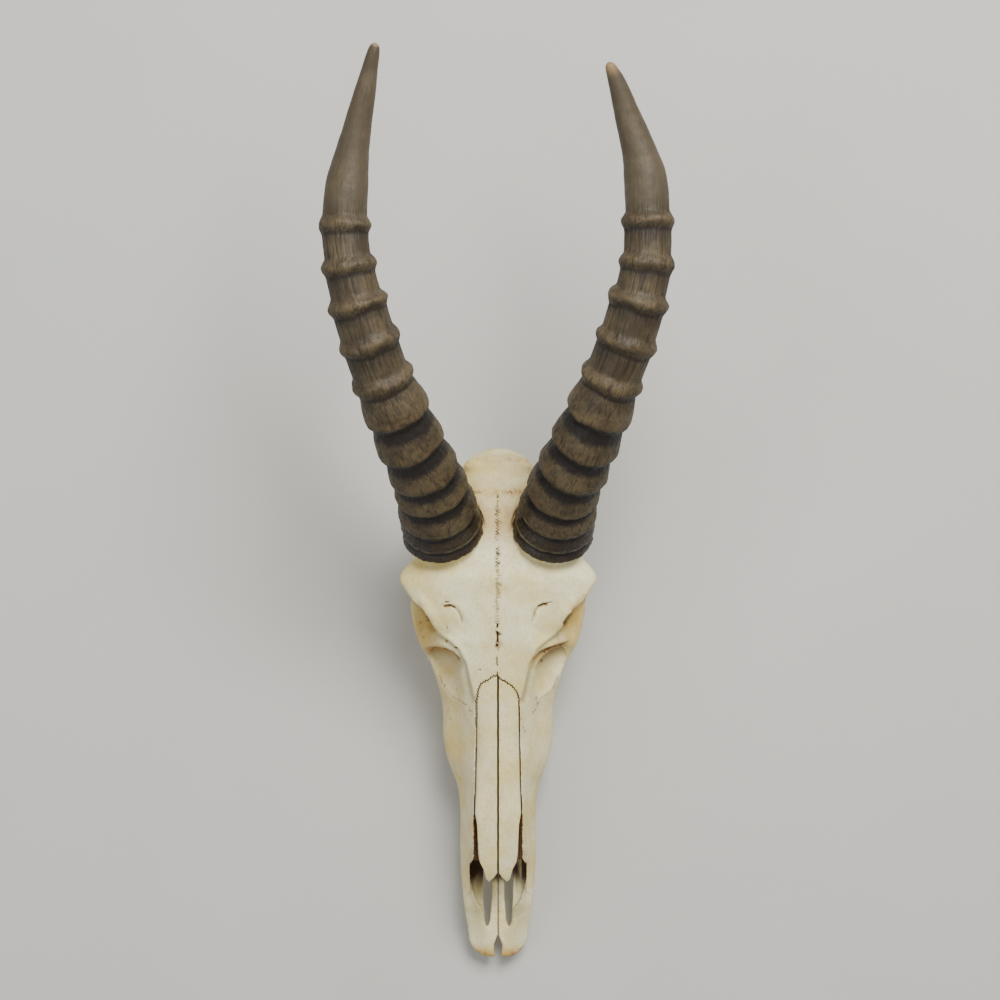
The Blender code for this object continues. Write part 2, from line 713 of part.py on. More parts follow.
def make_cranium(bone, group, cutters, mat):
    cranium = copy_of(bone, "cranium", group, mat)
    floor = both_sides([(0, -340), (90, -340), (90, 90), (0, 90)])
    seat = under_roof(SEAM_DEPTH + SEAM_ROOM)
    foot, top = [(y + SEAM_SHIFT, z) for y, z in (SEAM_FOOT, SEAM_TOP)]
    front = [(PREMAXILLA[0][1], foot[1]), foot, top, (PREMAXILLA[0][1], top[1])]
    width, back = PRONG[0] + GAP, PRONG[1] + GAP
    prong = both_sides([(0, SEAM_FOOT[0]), (width, SEAM_FOOT[0]), (width, back), (0, back)])
    tools = [
        prism("floor_cut", floor, 1, BELOW, 0, cutters),
        prism("nasal_seat", both_sides(NASAL_SEAT), 1, seat, ABOVE, cutters),
        prism("aperture", both_sides(APERTURE), 1, APERTURE_FLOOR, ABOVE, cutters),
        side_block("front_cut", front, -SEAM_REACH, SEAM_REACH, cutters),
        prism("prong_cut", prong, 1, BELOW, SLIT_TOP, cutters),
    ]
    for side in SIDES.values():
        tools.append(prism("slit", PALATE_SLIT, side, BELOW, SLIT_TOP, cutters))
        tools.append(socket_cutter(side, cutters))
        tools.append(seat_cutter(HORN_LEFT_LIPS if side < 0 else HORN_RIGHT_LIPS, cutters))
    for tool in tools:
        cut(cranium, tool)
    smooth(cranium, 50)
    return cranium


def off_midline(outline):
    """An outline kept half a gap off the midline."""
    return [(max(x, GAP / 2), y) for x, y in outline]


def make_nasal(bone, side, word, group, cutters, mat):
    nasal = copy_of(bone, f"nasal_{word}", group, mat)
    block = prism("nasal_block", off_midline(NASAL), side, under_roof(SEAM_DEPTH), ABOVE, cutters)
    cut(nasal, block, "INTERSECT")
    smooth(nasal, 50)
    return nasal


def make_premaxilla(bone, side, word, group, cutters, mat):
    premaxilla = copy_of(bone, f"premaxilla_{word}", group, mat)
    block = prism("front_block", off_midline(PREMAXILLA), side, BELOW, ABOVE, cutters)
    cut(premaxilla, block, "INTERSECT")
    back = PREMAXILLA[-1][1]
    behind = [SEAM_FOOT, (back, SEAM_FOOT[1]), (back, SEAM_TOP[1]), SEAM_TOP]
    width = PRONG[0] + GAP
    behind_prong = both_sides([(0, PRONG[1]), (width, PRONG[1]), (width, back), (0, back)])
    tools = [
        side_block("behind_seam", behind, side * PRONG[0], side * SEAM_REACH, cutters),
        prism("behind_prong", behind_prong, 1, BELOW, ABOVE, cutters),
        prism("front_open", both_sides(APERTURE), 1, APERTURE_FLOOR, ABOVE, cutters),
        prism("front_slit", PALATE_SLIT, side, BELOW, SLIT_TOP, cutters),
        prism("tip_notch", both_sides(TIP_NOTCH), 1, BELOW, ABOVE, cutters),
    ]
    for tool in tools:
        cut(premaxilla, tool)
    smooth(premaxilla, 50)
    return premaxilla


def main():
    clear_scene()
    parts = new_collection("topi_skull")
    cutters = new_collection("cutters")
    bone_mat = material("bone", BONE_COLOUR, 0.6)
    nasal_mat = material("nasal_bone", NASAL_COLOUR, 0.58)
    horn_mat = material("horn", HORN_COLOUR, 0.5)
    tooth_mat = material("tooth", TOOTH_COLOUR, 0.4)

    bone = fused_bone(cutters)
    for tool in hollows(cutters):
        cut(bone, tool)
    settled(bone)
    fuse(bone, 2)
    thin(bone, BONE_FACES)
    bone.hide_render = True
    bone.display_type = "WIRE"

    make_cranium(bone, parts, cutters, bone_mat)
    for word, side in SIDES.items():
        make_nasal(bone, side, word, parts, cutters, nasal_mat)
        make_premaxilla(bone, side, word, parts, cutters, bone_mat)
        start = 0.0
        for name, length, width in TEETH:
            tooth = make_tooth(f"tooth_{word}_{name}", side, start, length, width, parts)
            tooth.data.materials.append(tooth_mat)
            start += length
    horns = (("horn_left", HORN_LEFT_LIPS, HORN_LEFT_TIP), ("horn_right", HORN_RIGHT_LIPS, HORN_RIGHT_TIP))
    for name, lips, tip in horns:
        make_horn(name, lips, tip, parts).data.materials.append(horn_mat)


main()
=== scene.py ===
import math

import bmesh
import bpy
import numpy as np
from mathutils import Matrix, Vector
from mathutils.bvhtree import BVHTree


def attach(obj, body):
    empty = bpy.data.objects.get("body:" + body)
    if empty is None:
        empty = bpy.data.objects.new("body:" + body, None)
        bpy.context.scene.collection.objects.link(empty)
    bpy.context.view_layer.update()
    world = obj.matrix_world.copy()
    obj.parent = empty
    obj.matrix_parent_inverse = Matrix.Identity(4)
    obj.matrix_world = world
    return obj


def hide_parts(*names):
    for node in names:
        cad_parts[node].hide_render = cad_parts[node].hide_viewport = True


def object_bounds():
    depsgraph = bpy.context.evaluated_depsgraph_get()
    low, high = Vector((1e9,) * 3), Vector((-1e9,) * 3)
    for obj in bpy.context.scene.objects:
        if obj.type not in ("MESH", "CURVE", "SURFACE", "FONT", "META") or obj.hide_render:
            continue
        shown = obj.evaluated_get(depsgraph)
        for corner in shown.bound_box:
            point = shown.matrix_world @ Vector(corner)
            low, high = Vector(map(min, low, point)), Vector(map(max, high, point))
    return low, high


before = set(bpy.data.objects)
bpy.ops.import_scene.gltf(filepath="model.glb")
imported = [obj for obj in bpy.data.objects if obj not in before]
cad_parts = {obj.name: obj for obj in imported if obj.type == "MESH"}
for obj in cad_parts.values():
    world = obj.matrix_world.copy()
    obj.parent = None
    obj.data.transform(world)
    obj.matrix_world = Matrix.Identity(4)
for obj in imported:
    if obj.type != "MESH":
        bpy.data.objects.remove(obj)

CAD_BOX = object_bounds()

MM = 0.001
GAP = 0.3  # between neighbouring pieces
BONE_VOXEL = 0.95
PIECE_VOXEL = 0.62
NASAL_VOXEL = 0.5
CRANIUM_FACES = 92000
SECTION_STEP = 2.5
RING_POINTS = 80
NOSE_POINTS = 48
BAR_SIDES = 28
PEDICLE_SIDES = 48
RIM_KNOTS = 14
BELOW, ABOVE = -30, 150  # heights clear of the skull on either side
SIDES = {"left": -1, "right": 1}  # the viewer's

# Cross-sections from nose to occiput: y, roof height, half width of the roof, fall of the roof to its edge,
# half width and height of its widest place, of its lower edge and of the palate
SKULL = [
    (-331.5, 18, 6, 1, 10, 14, 9, 11, 4, 11),
    (-327, 19.5, 9, 1, 17.6, 15, 15, 10, 8, 11),
    (-319, 21.5, 10, 0.5, 22, 17, 19.5, 10, 12, 12),
    (-310, 23, 11, -2, 23, 20, 20, 12, 13, 14),
    (-299, 24.5, 12.5, -6, 24.6, 26, 21, 14, 14, 16),
    (-290, 30, 14, -8.5, 25.8, 30, 21.5, 15.5, 15, 17.5),
    (-281, 48, 14.5, 0, 26.9, 30, 22.5, 17, 15.5, 19),
    (-271, 61, 14.5, 3, 27.8, 29, 23, 18, 16, 20),
    (-261, 67.5, 15, 3, 28.6, 28, 23, 19, 16, 21),
    (-241, 73.5, 16.5, 3, 28.8, 29, 24, 19, 17, 22),
    (-217, 80, 17.5, 4, 28.6, 32, 25, 19, 17, 23),
    (-200, 83.5, 17, 5, 30, 36, 27, 18, 17, 24),
    (-190, 85.5, 17, 6, 33.4, 40, 30, 16, 18, 25),
    (-178, 88, 17, 7, 38, 43, 33, 14, 19, 26),
    (-160, 91.5, 17, 8, 41.2, 45, 34.5, 13, 20, 27),
    (-144, 94.5, 17.5, 6.5, 41.3, 48, 35, 13, 21, 28),
    (-131, 97, 18.5, 6, 42.8, 53, 35, 13, 22, 28),
    (-119, 99.5, 21.5, 5.5, 45.7, 58, 35, 14, 22, 29),
    (-105, 102.5, 27, 5, 50.5, 60, 35, 17, 20, 30),
    (-96, 104.5, 32, 5, 56, 60, 36, 22, 18, 31),
    (-88, 106.5, 38, 6, 60, 58, 38, 32, 16, 34),
    (-80, 108, 36, 8, 61.5, 55, 40, 41, 14, 37),
    (-71, 109.5, 34, 9, 55, 54, 32, 44, 13, 38),
    (-62, 111, 33, 9, 40, 64, 24, 42, 12, 39),
    (-50, 112.5, 34, 10, 37, 78, 23, 39, 12, 38),
    (-36, 113, 36, 10, 38, 76, 26, 38, 14, 38),
    (-20, 109.5, 34, 10, 39.5, 70, 30, 38, 14, 37),
    (0, 102.5, 31, 11, 40, 64, 32, 37, 14, 36),
    (20, 95, 28, 11, 36.5, 60, 31, 36, 14, 34),
    (36, 88, 24, 10, 30, 58, 27, 36, 14, 33),
    (45, 80, 22.5, 9, 25, 56, 21, 38, 12, 34),
    (51, 70, 15.5, 8, 18.5, 55, 15, 41, 9, 38),
    (55.5, 61, 4, 4, 7, 54, 6, 46, 3, 44),
]
PALATE_SLOPE = 4

# The shelf over the eyes: y, half width, height on the midline, height and thickness of its edge
BROW = [
    (-90, 30, 105, 97, 6),
    (-84, 40, 106.5, 98, 7),
    (-76, 47.5, 108, 99, 7),
    (-67, 53.5, 110, 100.5, 7),
    (-59, 61, 111, 101, 7),
    (-50, 68, 112.5, 101, 7.5),
    (-40, 72.6, 114, 100, 8),
    (-31, 67, 112, 97, 8),
    (-22, 58, 109.5, 94, 9),
    (-8, 42, 103, 88, 10),
]

# Hollow of the nose: y, floor height, half width at the floor, ceiling height, half width at the ceiling
NOSE_HOLLOW = [
    (-300, 22, 8, 30, 8),
    (-285, 22.5, 13, 42, 14),
    (-270, 24, 15, 58, 13),
    (-255, 25, 17, 63.5, 13.5),
    (-240, 26, 18, 69, 14),
    (-217, 27.5, 18, 75.5, 14),
    (-195, 29, 19, 80, 14),
    (-170, 31, 20, 85.5, 14),
    (-145, 32.5, 20, 90, 14),
    (-128, 33.5, 18, 92, 14),
    (-116, 35, 14, 86, 13),
    (-98, 36, 10, 70, 10),
    (-80, 36, 7, 55, 7),
]

# Plan outlines of one side, x and y from the midline at the back to the midline at the front
NASAL = [
    (0, -113.4), (4.4, -114), (14.7, -121.6), (15.5, -131), (15.7, -164), (16.4, -196),
    (17.2, -215), (15.6, -224), (14.5, -247), (13.6, -253), (10.6, -259), (9, -266), (6.8, -268.5),
    (3, -265), (0, -260.5),
]
NASAL_SEAT = [
    (0, -113.1), (4.6, -113.7), (15.1, -121.3), (15.9, -131), (16.1, -164), (16.8, -196),
    (17.8, -215), (18.3, -221), (18.7, -250), (18.9, -254), (0, -254),
]
# The same edges where they knit with the forehead, which differ between the sides
NASAL_BACK = {
    -1: [
        (0, -111.8), (3.7, -112.7), (7.3, -115.6), (11.8, -117.8), (13.6, -119.8), (14.7, -123.4),
        (15.5, -131),
    ],
    1: [
        (0, -113), (2.1, -115.4), (5.1, -116.6), (10.3, -120.1), (12.9, -123.1), (14.7, -127), (15.5, -131),
    ],
}
NASAL_KNIT = 4  # points at the start of NASAL and NASAL_SEAT that these stand for
APERTURE = [
    (0, -252), (18.6, -252), (21.4, -259), (21, -267), (19.4, -277), (17, -285.5), (14.5, -289.5),
    (11.8, -292), (10.6, -303), (7, -309.5), (0, -313),
]
APERTURE_FLOOR = 23.5
PALATE_SLIT = [
    (4.8, -262), (11.2, -262), (11.4, -285), (10.3, -303), (8.5, -309.2), (6.1, -303), (4.6, -285),
]
PREMAXILLA = [(0, -345), (45, -345), (45, -245), (0, -245)]
PRONG = (8, -265)
SEAM_FOOT, SEAM_TOP = (-330, -31), (-252.5, 75)
SEAM_SHIFT = -0.2  # the nose's two bones have nearly knitted with the upper jaw
SEAM_REACH = 55
SLIT_TOP = 60
TIP_NOTCH = [(0, -312.6), (2.0, -318), (3.3, -321.5), (3.0, -327), (2.6, -336), (0, -336)]
SEAM_DEPTH = 7
SEAM_ROOM = 3

# The eye sockets, given for the right side
ORBIT_CENTRE = (54.2, -62.5, 80)
ORBIT_OUT = (0.828, -0.546, 0.125)
ORBIT_FORWARD = (-0.551, -0.835, 0)
ORBIT_LONG = 23.5
ORBIT_TALL = 23
RIM_THICK = 4
ORBIT_BOWL = (21, 19, 26)
ORBIT_SINK = 6
ORBIT_RISE = 2
ARCH = [
    (52, -92, 57, 5, 8), (58.5, -78, 54, 4.5, 8), (62, -62, 51.5, 3.6, 7), (63, -44, 50.5, 3.4, 6),
    (60, -25, 50, 3.6, 6), (53, -8, 49, 5, 5.5), (40, 3, 48, 8, 5),
]
MASSES = [
    ((42, -4, 46), (13, 11, 4.5)),
    ((37, 15, 50), (9, 9, 10)),
    ((13, 40, 40), (8.5, 10.5, 12.5)),
    ((47, -71, 57.5), (15, 20, 5.5)),
    ((20, 8, 38), (8, 13, 10)),
    ((16, 42, 74), (10, 6, 9)),
    ((12, -58, 38), (3.2, 30, 13)),
]
MIDLINE_MASSES = [
    ((0, 0, 38), (13, 48, 6)),
    ((0, 44, 77), (22, 5.5, 6)),
]
PROCESS = [
    (33, 30, 56, 7, 12), (31.5, 32, 40, 5, 11), (30, 33, 24, 3.6, 8.5), (28.5, 33, 10, 3.2, 6.5),
    (27.5, 32, -4, 3, 5),
]
FOSSAE = [((38.5, -121, 80.3), (11.5, 27, 15)), ((41.5, -107.5, 82), (11.3, 15.5, 19))]
FOSSA_TILT = -34
EAR = ((46, 17, 51), (9, 3.6, 3.6))
FORAMEN_MAGNUM = ((0, 52, 46), (9, 34, 9))
CHOANA = ((0, -84, 32), (8.5, 24, 13))

# Horns: centre line and radius of each lip from the seat up, then the plain tip
HORN_LIPS = {
    "left": [
        (-40.6, -5.8, 100, 30.4), (-41.9, 1.2, 108.5, 29.8), (-44.2, 11.5, 121, 29.2),
        (-48.3, 25.7, 137.7, 27.4), (-53.7, 39.4, 152.7, 26), (-62.4, 58.4, 170.7, 25.3),
        (-71.5, 80.4, 187.5, 24.3), (-80.8, 102.3, 200.3, 23), (-89.7, 127.7, 210.6, 22.4),
        (-97.4, 153.8, 217.2, 21.9), (-103.4, 179.4, 220.5, 19.9), (-106.4, 207.6, 221.2, 18.5),
    ],
    "right": [
        (40.4, -5.8, 100, 30.4), (41.6, 1, 108.2, 29.8), (43.8, 11.3, 120.6, 28.8), (47.3, 24.8, 136.4, 27.3),
        (54.2, 40.7, 154.1, 26.3), (62, 58.8, 171, 25.2), (71.5, 80.5, 187.8, 24.4),
        (80.1, 102.3, 200.3, 23.1), (89.6, 128.2, 210.9, 22.5), (97.7, 155.6, 217.9, 22),
        (103.2, 181.3, 221.2, 20.1), (104.1, 210.5, 221.9, 18.8),
    ],
}
HORN_TIP = {
    "left": [
        (-104.9, 235, 222, 15.2), (-100.9, 258.4, 224.5, 11.8), (-96.2, 280, 229.2, 9.4),
        (-91, 301.6, 236, 7.3), (-88.1, 314.2, 240.3, 5.6), (-85.3, 325.5, 245, 4.2),
        (-83.8, 330.6, 247.3, 2.4),
    ],
    "right": [
        (102.4, 239.9, 222.7, 15.2), (98.1, 258.4, 224.9, 12.3), (89.9, 282.6, 230.2, 9.2),
        (81.8, 305.8, 237.7, 6), (77.8, 314.3, 241.3, 4), (75.9, 318, 243, 2.4),
    ],
}
PEDICLE_ROOT = (29, -10, 66)
PEDICLE_RADII = (33, 28)
PEDICLE_OVER = 7
SEAT_CUT = (31.3, 70)

TEETH = [
    ("p2", 10.5, 8.5), ("p3", 12.5, 10.5), ("p4", 12.5, 12), ("m1", 16.5, 13.2), ("m2", 20, 13.6),
    ("m3", 20.5, 12.8),
]
ROW = [(24.6, -199.5), (27.4, -163), (27.2, -106)]
TOOTH_TOP = 18.5
SOCKET_TOP = 19
SOCKET_PLACES = [-0.3, 22, 40, 65, 92.8]
SOCKET_FRONT, SOCKET_FLARE, SOCKET_HALF = 4.9, 0.062, 7.3


# ---- shared shape tools


def spline(rows, at):
    """Each value of rows, read at a place along the first column, on a smooth curve through the rows."""
    k = 0
    while k < len(rows) - 2 and rows[k + 1][0] < at:
        k += 1
    a, b = rows[k], rows[k + 1]
    before, after = rows[max(k - 1, 0)], rows[min(k + 2, len(rows) - 1)]
    span = b[0] - a[0]
    t = (at - a[0]) / span
    out = []
    for i in range(1, len(a)):
        slope_a = (b[i] - before[i]) / (b[0] - before[0]) * span
        slope_b = (after[i] - a[i]) / (after[0] - a[0]) * span
        out.append(
            (2 * t**3 - 3 * t**2 + 1) * a[i]
            + (t**3 - 2 * t**2 + t) * slope_a
            + (3 * t**2 - 2 * t**3) * b[i]
            + (t**3 - t**2) * slope_b
        )
    return out


CURVE_STEPS = 12  # between two points of a smooth curve


def closed_curve(points, count):
    """count points, evenly spaced, on a smooth closed curve through points in a plane."""
    n = len(points)
    fine = []
    for k in range(n):
        p = [Vector(points[(k + i) % n]) for i in (-1, 0, 1, 2)]
        for step in range(CURVE_STEPS):
            t = step / CURVE_STEPS
            fine.append(
                0.5
                * (
                    2 * p[1]
                    + (p[2] - p[0]) * t
                    + (2 * p[0] - 5 * p[1] + 4 * p[2] - p[3]) * t**2
                    + (3 * p[1] - p[0] - 3 * p[2] + p[3]) * t**3
                )
            )
    lengths = [0.0]
    for a, b in zip(fine, fine[1:] + fine[:1]):
        lengths.append(lengths[-1] + (b - a).length)
    out, k = [], 0
    for i in range(count):
        want = lengths[-1] * i / count
        while lengths[k + 1] < want:
            k += 1
        t = (want - lengths[k]) / (lengths[k + 1] - lengths[k])
        out.append(fine[k].lerp(fine[(k + 1) % len(fine)], t))
    return out


def mirrored(half):
    """A whole outline from the half at +X, whose first and last points are on the midline."""
    return list(half) + [(-x, z) for x, z in reversed(half[1:-1])]


def object_from(name, bm):
    """A new object that takes its mesh from bm."""
    mesh = bpy.data.meshes.new(name)
    bmesh.ops.recalc_face_normals(bm, faces=bm.faces)
    bm.to_mesh(mesh)
    bm.free()
    ob = bpy.data.objects.new(name, mesh)
    bpy.context.scene.collection.objects.link(ob)
    return ob


def loft(name, rings):
    """A closed skin over rings of equal count, points in millimetres."""
    bm = bmesh.new()
    loops = [[bm.verts.new(Vector(p) * MM) for p in ring] for ring in rings]
    for low, high in zip(loops, loops[1:]):
        for i in range(len(low)):
            j = (i + 1) % len(low)
            bm.faces.new((low[i], low[j], high[j], high[i]))
    for end in (loops[0], loops[-1]):
        bmesh.ops.triangulate(bm, faces=[bm.faces.new(end)])
    return object_from(name, bm)


def section_loft(name, rows, half_of, points=RING_POINTS):
    """A skin over cross-sections that half_of draws from the values of rows at each y."""
    first, last = rows[0][0], rows[-1][0]
    count = math.ceil((last - first) / SECTION_STEP)
    rings = []
    for k in range(count + 1):
        y = first + (last - first) * k / count
        outline = closed_curve(mirrored(half_of(*spline(rows, y))), points)
        rings.append([(p.x, y, p.y) for p in outline])
    return loft(name, rings)


def ring_of(centre, across, up, count):
    """Points on an ellipse with these two half axes."""
    turns = [2 * math.pi * k / count for k in range(count)]
    return [centre + across * math.cos(a) + up * math.sin(a) for a in turns]


def skull_half(roof, roof_w, fall, wide, wide_z, low_w, low_z, palate_w, palate_z):
    edge = (roof_w, roof - fall)
    middle = ((edge[0] + wide) / 2, (edge[1] + wide_z) / 2)
    return [
        (0, roof), (roof_w * 0.6, roof - fall * 0.2), edge, middle, (wide, wide_z), (low_w, low_z),
        (palate_w, low_z), (palate_w - PALATE_SLOPE, palate_z), (0, palate_z),
    ]


def brow_half(width, crown, edge, thick):
    return [
        (0, crown), (width * 0.55, crown * 0.75 + edge * 0.25), (width - 4, edge + 1.5),
        (width, edge - thick * 0.4), (width - 3, edge - thick), (width * 0.5, edge - thick * 1.4),
        (0, edge - thick * 1.6),
    ]


def hollow_half(floor, floor_w, ceiling, ceiling_w):
    return [
        (0, ceiling), (ceiling_w, ceiling - 2), ((ceiling_w + floor_w) / 2 + 1, (ceiling + floor) / 2),
        (floor_w, floor + 2), (0, floor),
    ]


def prism(name, outline, side, low, high):
    """An upright block over one side's plan outline. low is a height or a function of y."""
    bm = bmesh.new()
    bottom = []
    for x, y in outline:
        z = low(y) if callable(low) else low
        bottom.append(bm.verts.new(Vector((side * x, y, z)) * MM))
    top = [bm.verts.new(Vector((side * x, y, high)) * MM) for x, y in outline]
    n = len(outline)
    for i in range(n):
        bm.faces.new((bottom[i], bottom[(i + 1) % n], top[(i + 1) % n], top[i]))
    for end in (bottom, top):
        bmesh.ops.triangulate(bm, faces=[bm.faces.new(end)])
    return object_from(name, bm)


def side_block(name, outline, inner, outer):
    """A block over an outline in y and height, between two distances from the midline plane."""
    return loft(name, [[(x, y, z) for y, z in outline] for x in (inner, outer)])


def both_sides(half):
    """A plan outline across the midline, from the half at +X."""
    return list(half) + [(-x, y) for x, y in reversed(half) if x > 0]


def ball(name, centre, radii, turn=Matrix.Identity(3), fine=40):
    bm = bmesh.new()
    bmesh.ops.create_uvsphere(bm, u_segments=fine * 2, v_segments=fine, radius=1.0)
    size = Matrix.Diagonal((*radii, 1.0))
    place = Matrix.Translation(Vector(centre) * MM) @ turn.to_4x4() @ Matrix.Scale(MM, 4) @ size
    bmesh.ops.transform(bm, matrix=place, verts=bm.verts)
    return object_from(name, bm)


def hoop(name, points, radius):
    """A closed round ring along points, made from a curve and turned into a mesh."""
    curve = bpy.data.curves.new(name, "CURVE")
    curve.dimensions = "3D"
    curve.bevel_depth = MM
    curve.bevel_resolution = 8
    line = curve.splines.new("NURBS")
    line.order_u = 3
    line.use_cyclic_u = True
    line.points.add(len(points) - 1)
    for k, p in enumerate(points):
        line.points[k].co = (*(Vector(p) * MM), 1)
        line.points[k].radius = radius
    drawn = bpy.data.objects.new(name, curve)
    bpy.context.scene.collection.objects.link(drawn)
    bpy.context.view_layer.update()
    mesh = bpy.data.meshes.new_from_object(drawn.evaluated_get(bpy.context.evaluated_depsgraph_get()))
    bpy.data.objects.remove(drawn)
    bm = bmesh.new()
    bm.from_mesh(mesh)
    bpy.data.meshes.remove(mesh)
    bmesh.ops.remove_doubles(bm, verts=bm.verts, dist=1e-6)
    return object_from(name, bm)


def at_side(point, side):
    return (side * point[0], *point[1:])


def orbit_frame(side):
    """Directions along the socket's rim, up it and out of it, for one side."""
    out = Vector(ORBIT_OUT).normalized()
    forward = Vector(ORBIT_FORWARD).normalized()
    up = forward.cross(out)
    turn = Matrix((forward, up, out)).transposed()
    return Matrix.Diagonal((side, 1, 1)) @ turn


def orbit_rim(side):
    turn = orbit_frame(side)
    centre = Vector(at_side(ORBIT_CENTRE, side))
    ring = ring_of(centre, turn.col[0] * ORBIT_LONG, turn.col[1] * ORBIT_TALL, RIM_KNOTS)
    return hoop("rim", ring, RIM_THICK)


def run_lengths(rows):
    """How far along the line through rows each row lies."""
    run = [0.0]
    for a, b in zip(rows, rows[1:]):
        run.append(run[-1] + (Vector(b[:3]) - Vector(a[:3])).length)
    return run


def path_frames(rows, places):
    """Centre, two cross directions and the values past x, y, z, at places along a smooth line of rows."""
    run = run_lengths(rows)
    table = [(s, *row) for s, row in zip(run, rows)]
    frames = []
    across = Vector((1, 0, 0))
    for s in places:
        s = min(s, run[-1])
        here = spline(table, s)
        ahead = Vector(spline(table, min(s + 1, run[-1]))[:3])
        behind = Vector(spline(table, max(s - 1, 0))[:3])
        along = (ahead - behind).normalized()
        across = (across - along * across.dot(along)).normalized()
        frames.append((Vector(here[:3]), across.copy(), along.cross(across), here[3:]))
    return frames


def bar(name, rows):
    """A closed bar of oval section along rows of x, y, z, half breadth, half depth."""
    length = run_lengths(rows)[-1]
    count = math.ceil(length / SECTION_STEP)
    rings = []
    for centre, across, up, half in path_frames(rows, [length * k / count for k in range(count + 1)]):
        rings.append(ring_of(centre, across * half[0], up * half[1], BAR_SIDES))
    return loft(name, rings)


def horn_axis(lips):
    return (Vector(lips[1][:3]) - Vector(lips[0][:3])).normalized()


def pedicle(lips, side):
    """The bony stump that a horn stands on, left long and cut flat later where the horn seats."""
    seat = Vector(lips[0][:3])
    axis = horn_axis(lips)
    root = Vector(at_side(PEDICLE_ROOT, side))
    across = Vector((1, 0, 0))
    across = (across - axis * across.dot(axis)).normalized()
    up = axis.cross(across)
    rings = []
    for t in (0, 1 / 3, 2 / 3, 1):
        radius = PEDICLE_RADII[0] + (PEDICLE_RADII[1] - PEDICLE_RADII[0]) * t
        rings.append(ring_of(root.lerp(seat, t), across * radius, up * radius, PEDICLE_SIDES))
    rings.append([point + axis * PEDICLE_OVER for point in rings[-1]])
    return loft("pedicle", rings)


def seat_cutter(lips):
    """Clears the bone above a horn's seat."""
    axis = horn_axis(lips)
    bm = bmesh.new()
    radius, height = SEAT_CUT
    bmesh.ops.create_cone(
        bm, cap_ends=True, segments=48, radius1=radius * MM, radius2=radius * MM, depth=height * MM
    )
    centre = Vector(lips[0][:3]) + axis * (height / 2 - GAP)
    turn = axis.to_track_quat("Z", "Y").to_matrix().to_4x4()
    bmesh.ops.transform(bm, matrix=Matrix.Translation(centre * MM) @ turn, verts=bm.verts)
    return object_from("seat", bm)


# ---- mesh operations


def discard(ob):
    mesh = ob.data
    bpy.data.objects.remove(ob)
    bpy.data.meshes.remove(mesh)


def joined(name, objects):
    """One object from several, its shells still overlapping."""
    bm = bmesh.new()
    for ob in objects:
        bm.from_mesh(ob.data)
        discard(ob)
    mesh = bpy.data.meshes.new(name)
    bm.to_mesh(mesh)
    bm.free()
    ob = bpy.data.objects.new(name, mesh)
    bpy.context.scene.collection.objects.link(ob)
    return ob


def settled(ob):
    """Puts the result of an object's modifiers into its mesh."""
    bpy.context.view_layer.update()
    mesh = bpy.data.meshes.new_from_object(ob.evaluated_get(bpy.context.evaluated_depsgraph_get()))
    old = ob.data
    ob.modifiers.clear()
    ob.data = mesh
    bpy.data.meshes.remove(old)


def fuse(ob, voxel, rounds):
    """Melts overlapping shells into one skin and eases the creases between them."""
    remesh = ob.modifiers.new("fuse", "REMESH")
    remesh.mode = "VOXEL"
    remesh.voxel_size = voxel * MM
    if rounds:
        ease = ob.modifiers.new("ease", "SMOOTH")
        ease.factor = 0.5
        ease.iterations = rounds
    settled(ob)


def cut_all(ob, tools, how="DIFFERENCE"):
    for tool in tools:
        step = ob.modifiers.new("cut", "BOOLEAN")
        step.operation = how
        step.solver = "MANIFOLD"
        step.object = tool
    settled(ob)
    for tool in tools:
        discard(tool)


def thin(ob, faces):
    """Takes the skin down to about this many triangles."""
    ob.data.calc_loop_triangles()
    count = len(ob.data.loop_triangles)
    if count <= faces:
        return
    reduce = ob.modifiers.new("thin", "DECIMATE")
    reduce.ratio = faces / count
    reduce.use_collapse_triangulate = True
    settled(ob)


def vertex_places(mesh):
    co = np.empty(len(mesh.vertices) * 3)
    mesh.vertices.foreach_get("co", co)
    return co.reshape(-1, 3) / MM


def vertex_normals(mesh):
    normal = np.empty(len(mesh.vertices) * 3, dtype=np.float32)
    mesh.vertex_normals.foreach_get("vector", normal)
    return normal.reshape(-1, 3).astype(float)


def set_places(mesh, places):
    mesh.vertices.foreach_set("co", (places * MM).ravel())
    mesh.update()


def set_mask(mesh, name, values):
    """Keeps a value from 0 to 1 at each vertex under a name that the materials read."""
    layer = mesh.attributes.new(name, "FLOAT", "POINT")
    layer.data.foreach_set("value", np.clip(values, 0, 1).astype(np.float32))


def noise(places, size, seed):
    """Smooth noise from -1 to 1 at places, with lumps of about this size."""
    q = places / size
    base = np.floor(q).astype(np.int64)
    t = q - base
    t = t * t * (3 - 2 * t)
    total = np.zeros(len(places))
    for corner in np.ndindex(2, 2, 2):
        cell = base + corner
        code = cell[:, 0] * 73856093 ^ cell[:, 1] * 19349663 ^ cell[:, 2] * 83492791 ^ seed * 2654435761
        code = (code ^ (code >> 13)) * 1274126177
        value = ((code ^ (code >> 16)) & 0xFFFF) / 32767.5 - 1
        total += value * np.prod(np.where(corner, t, 1 - t), axis=1)
    return total


FAR = 99.0


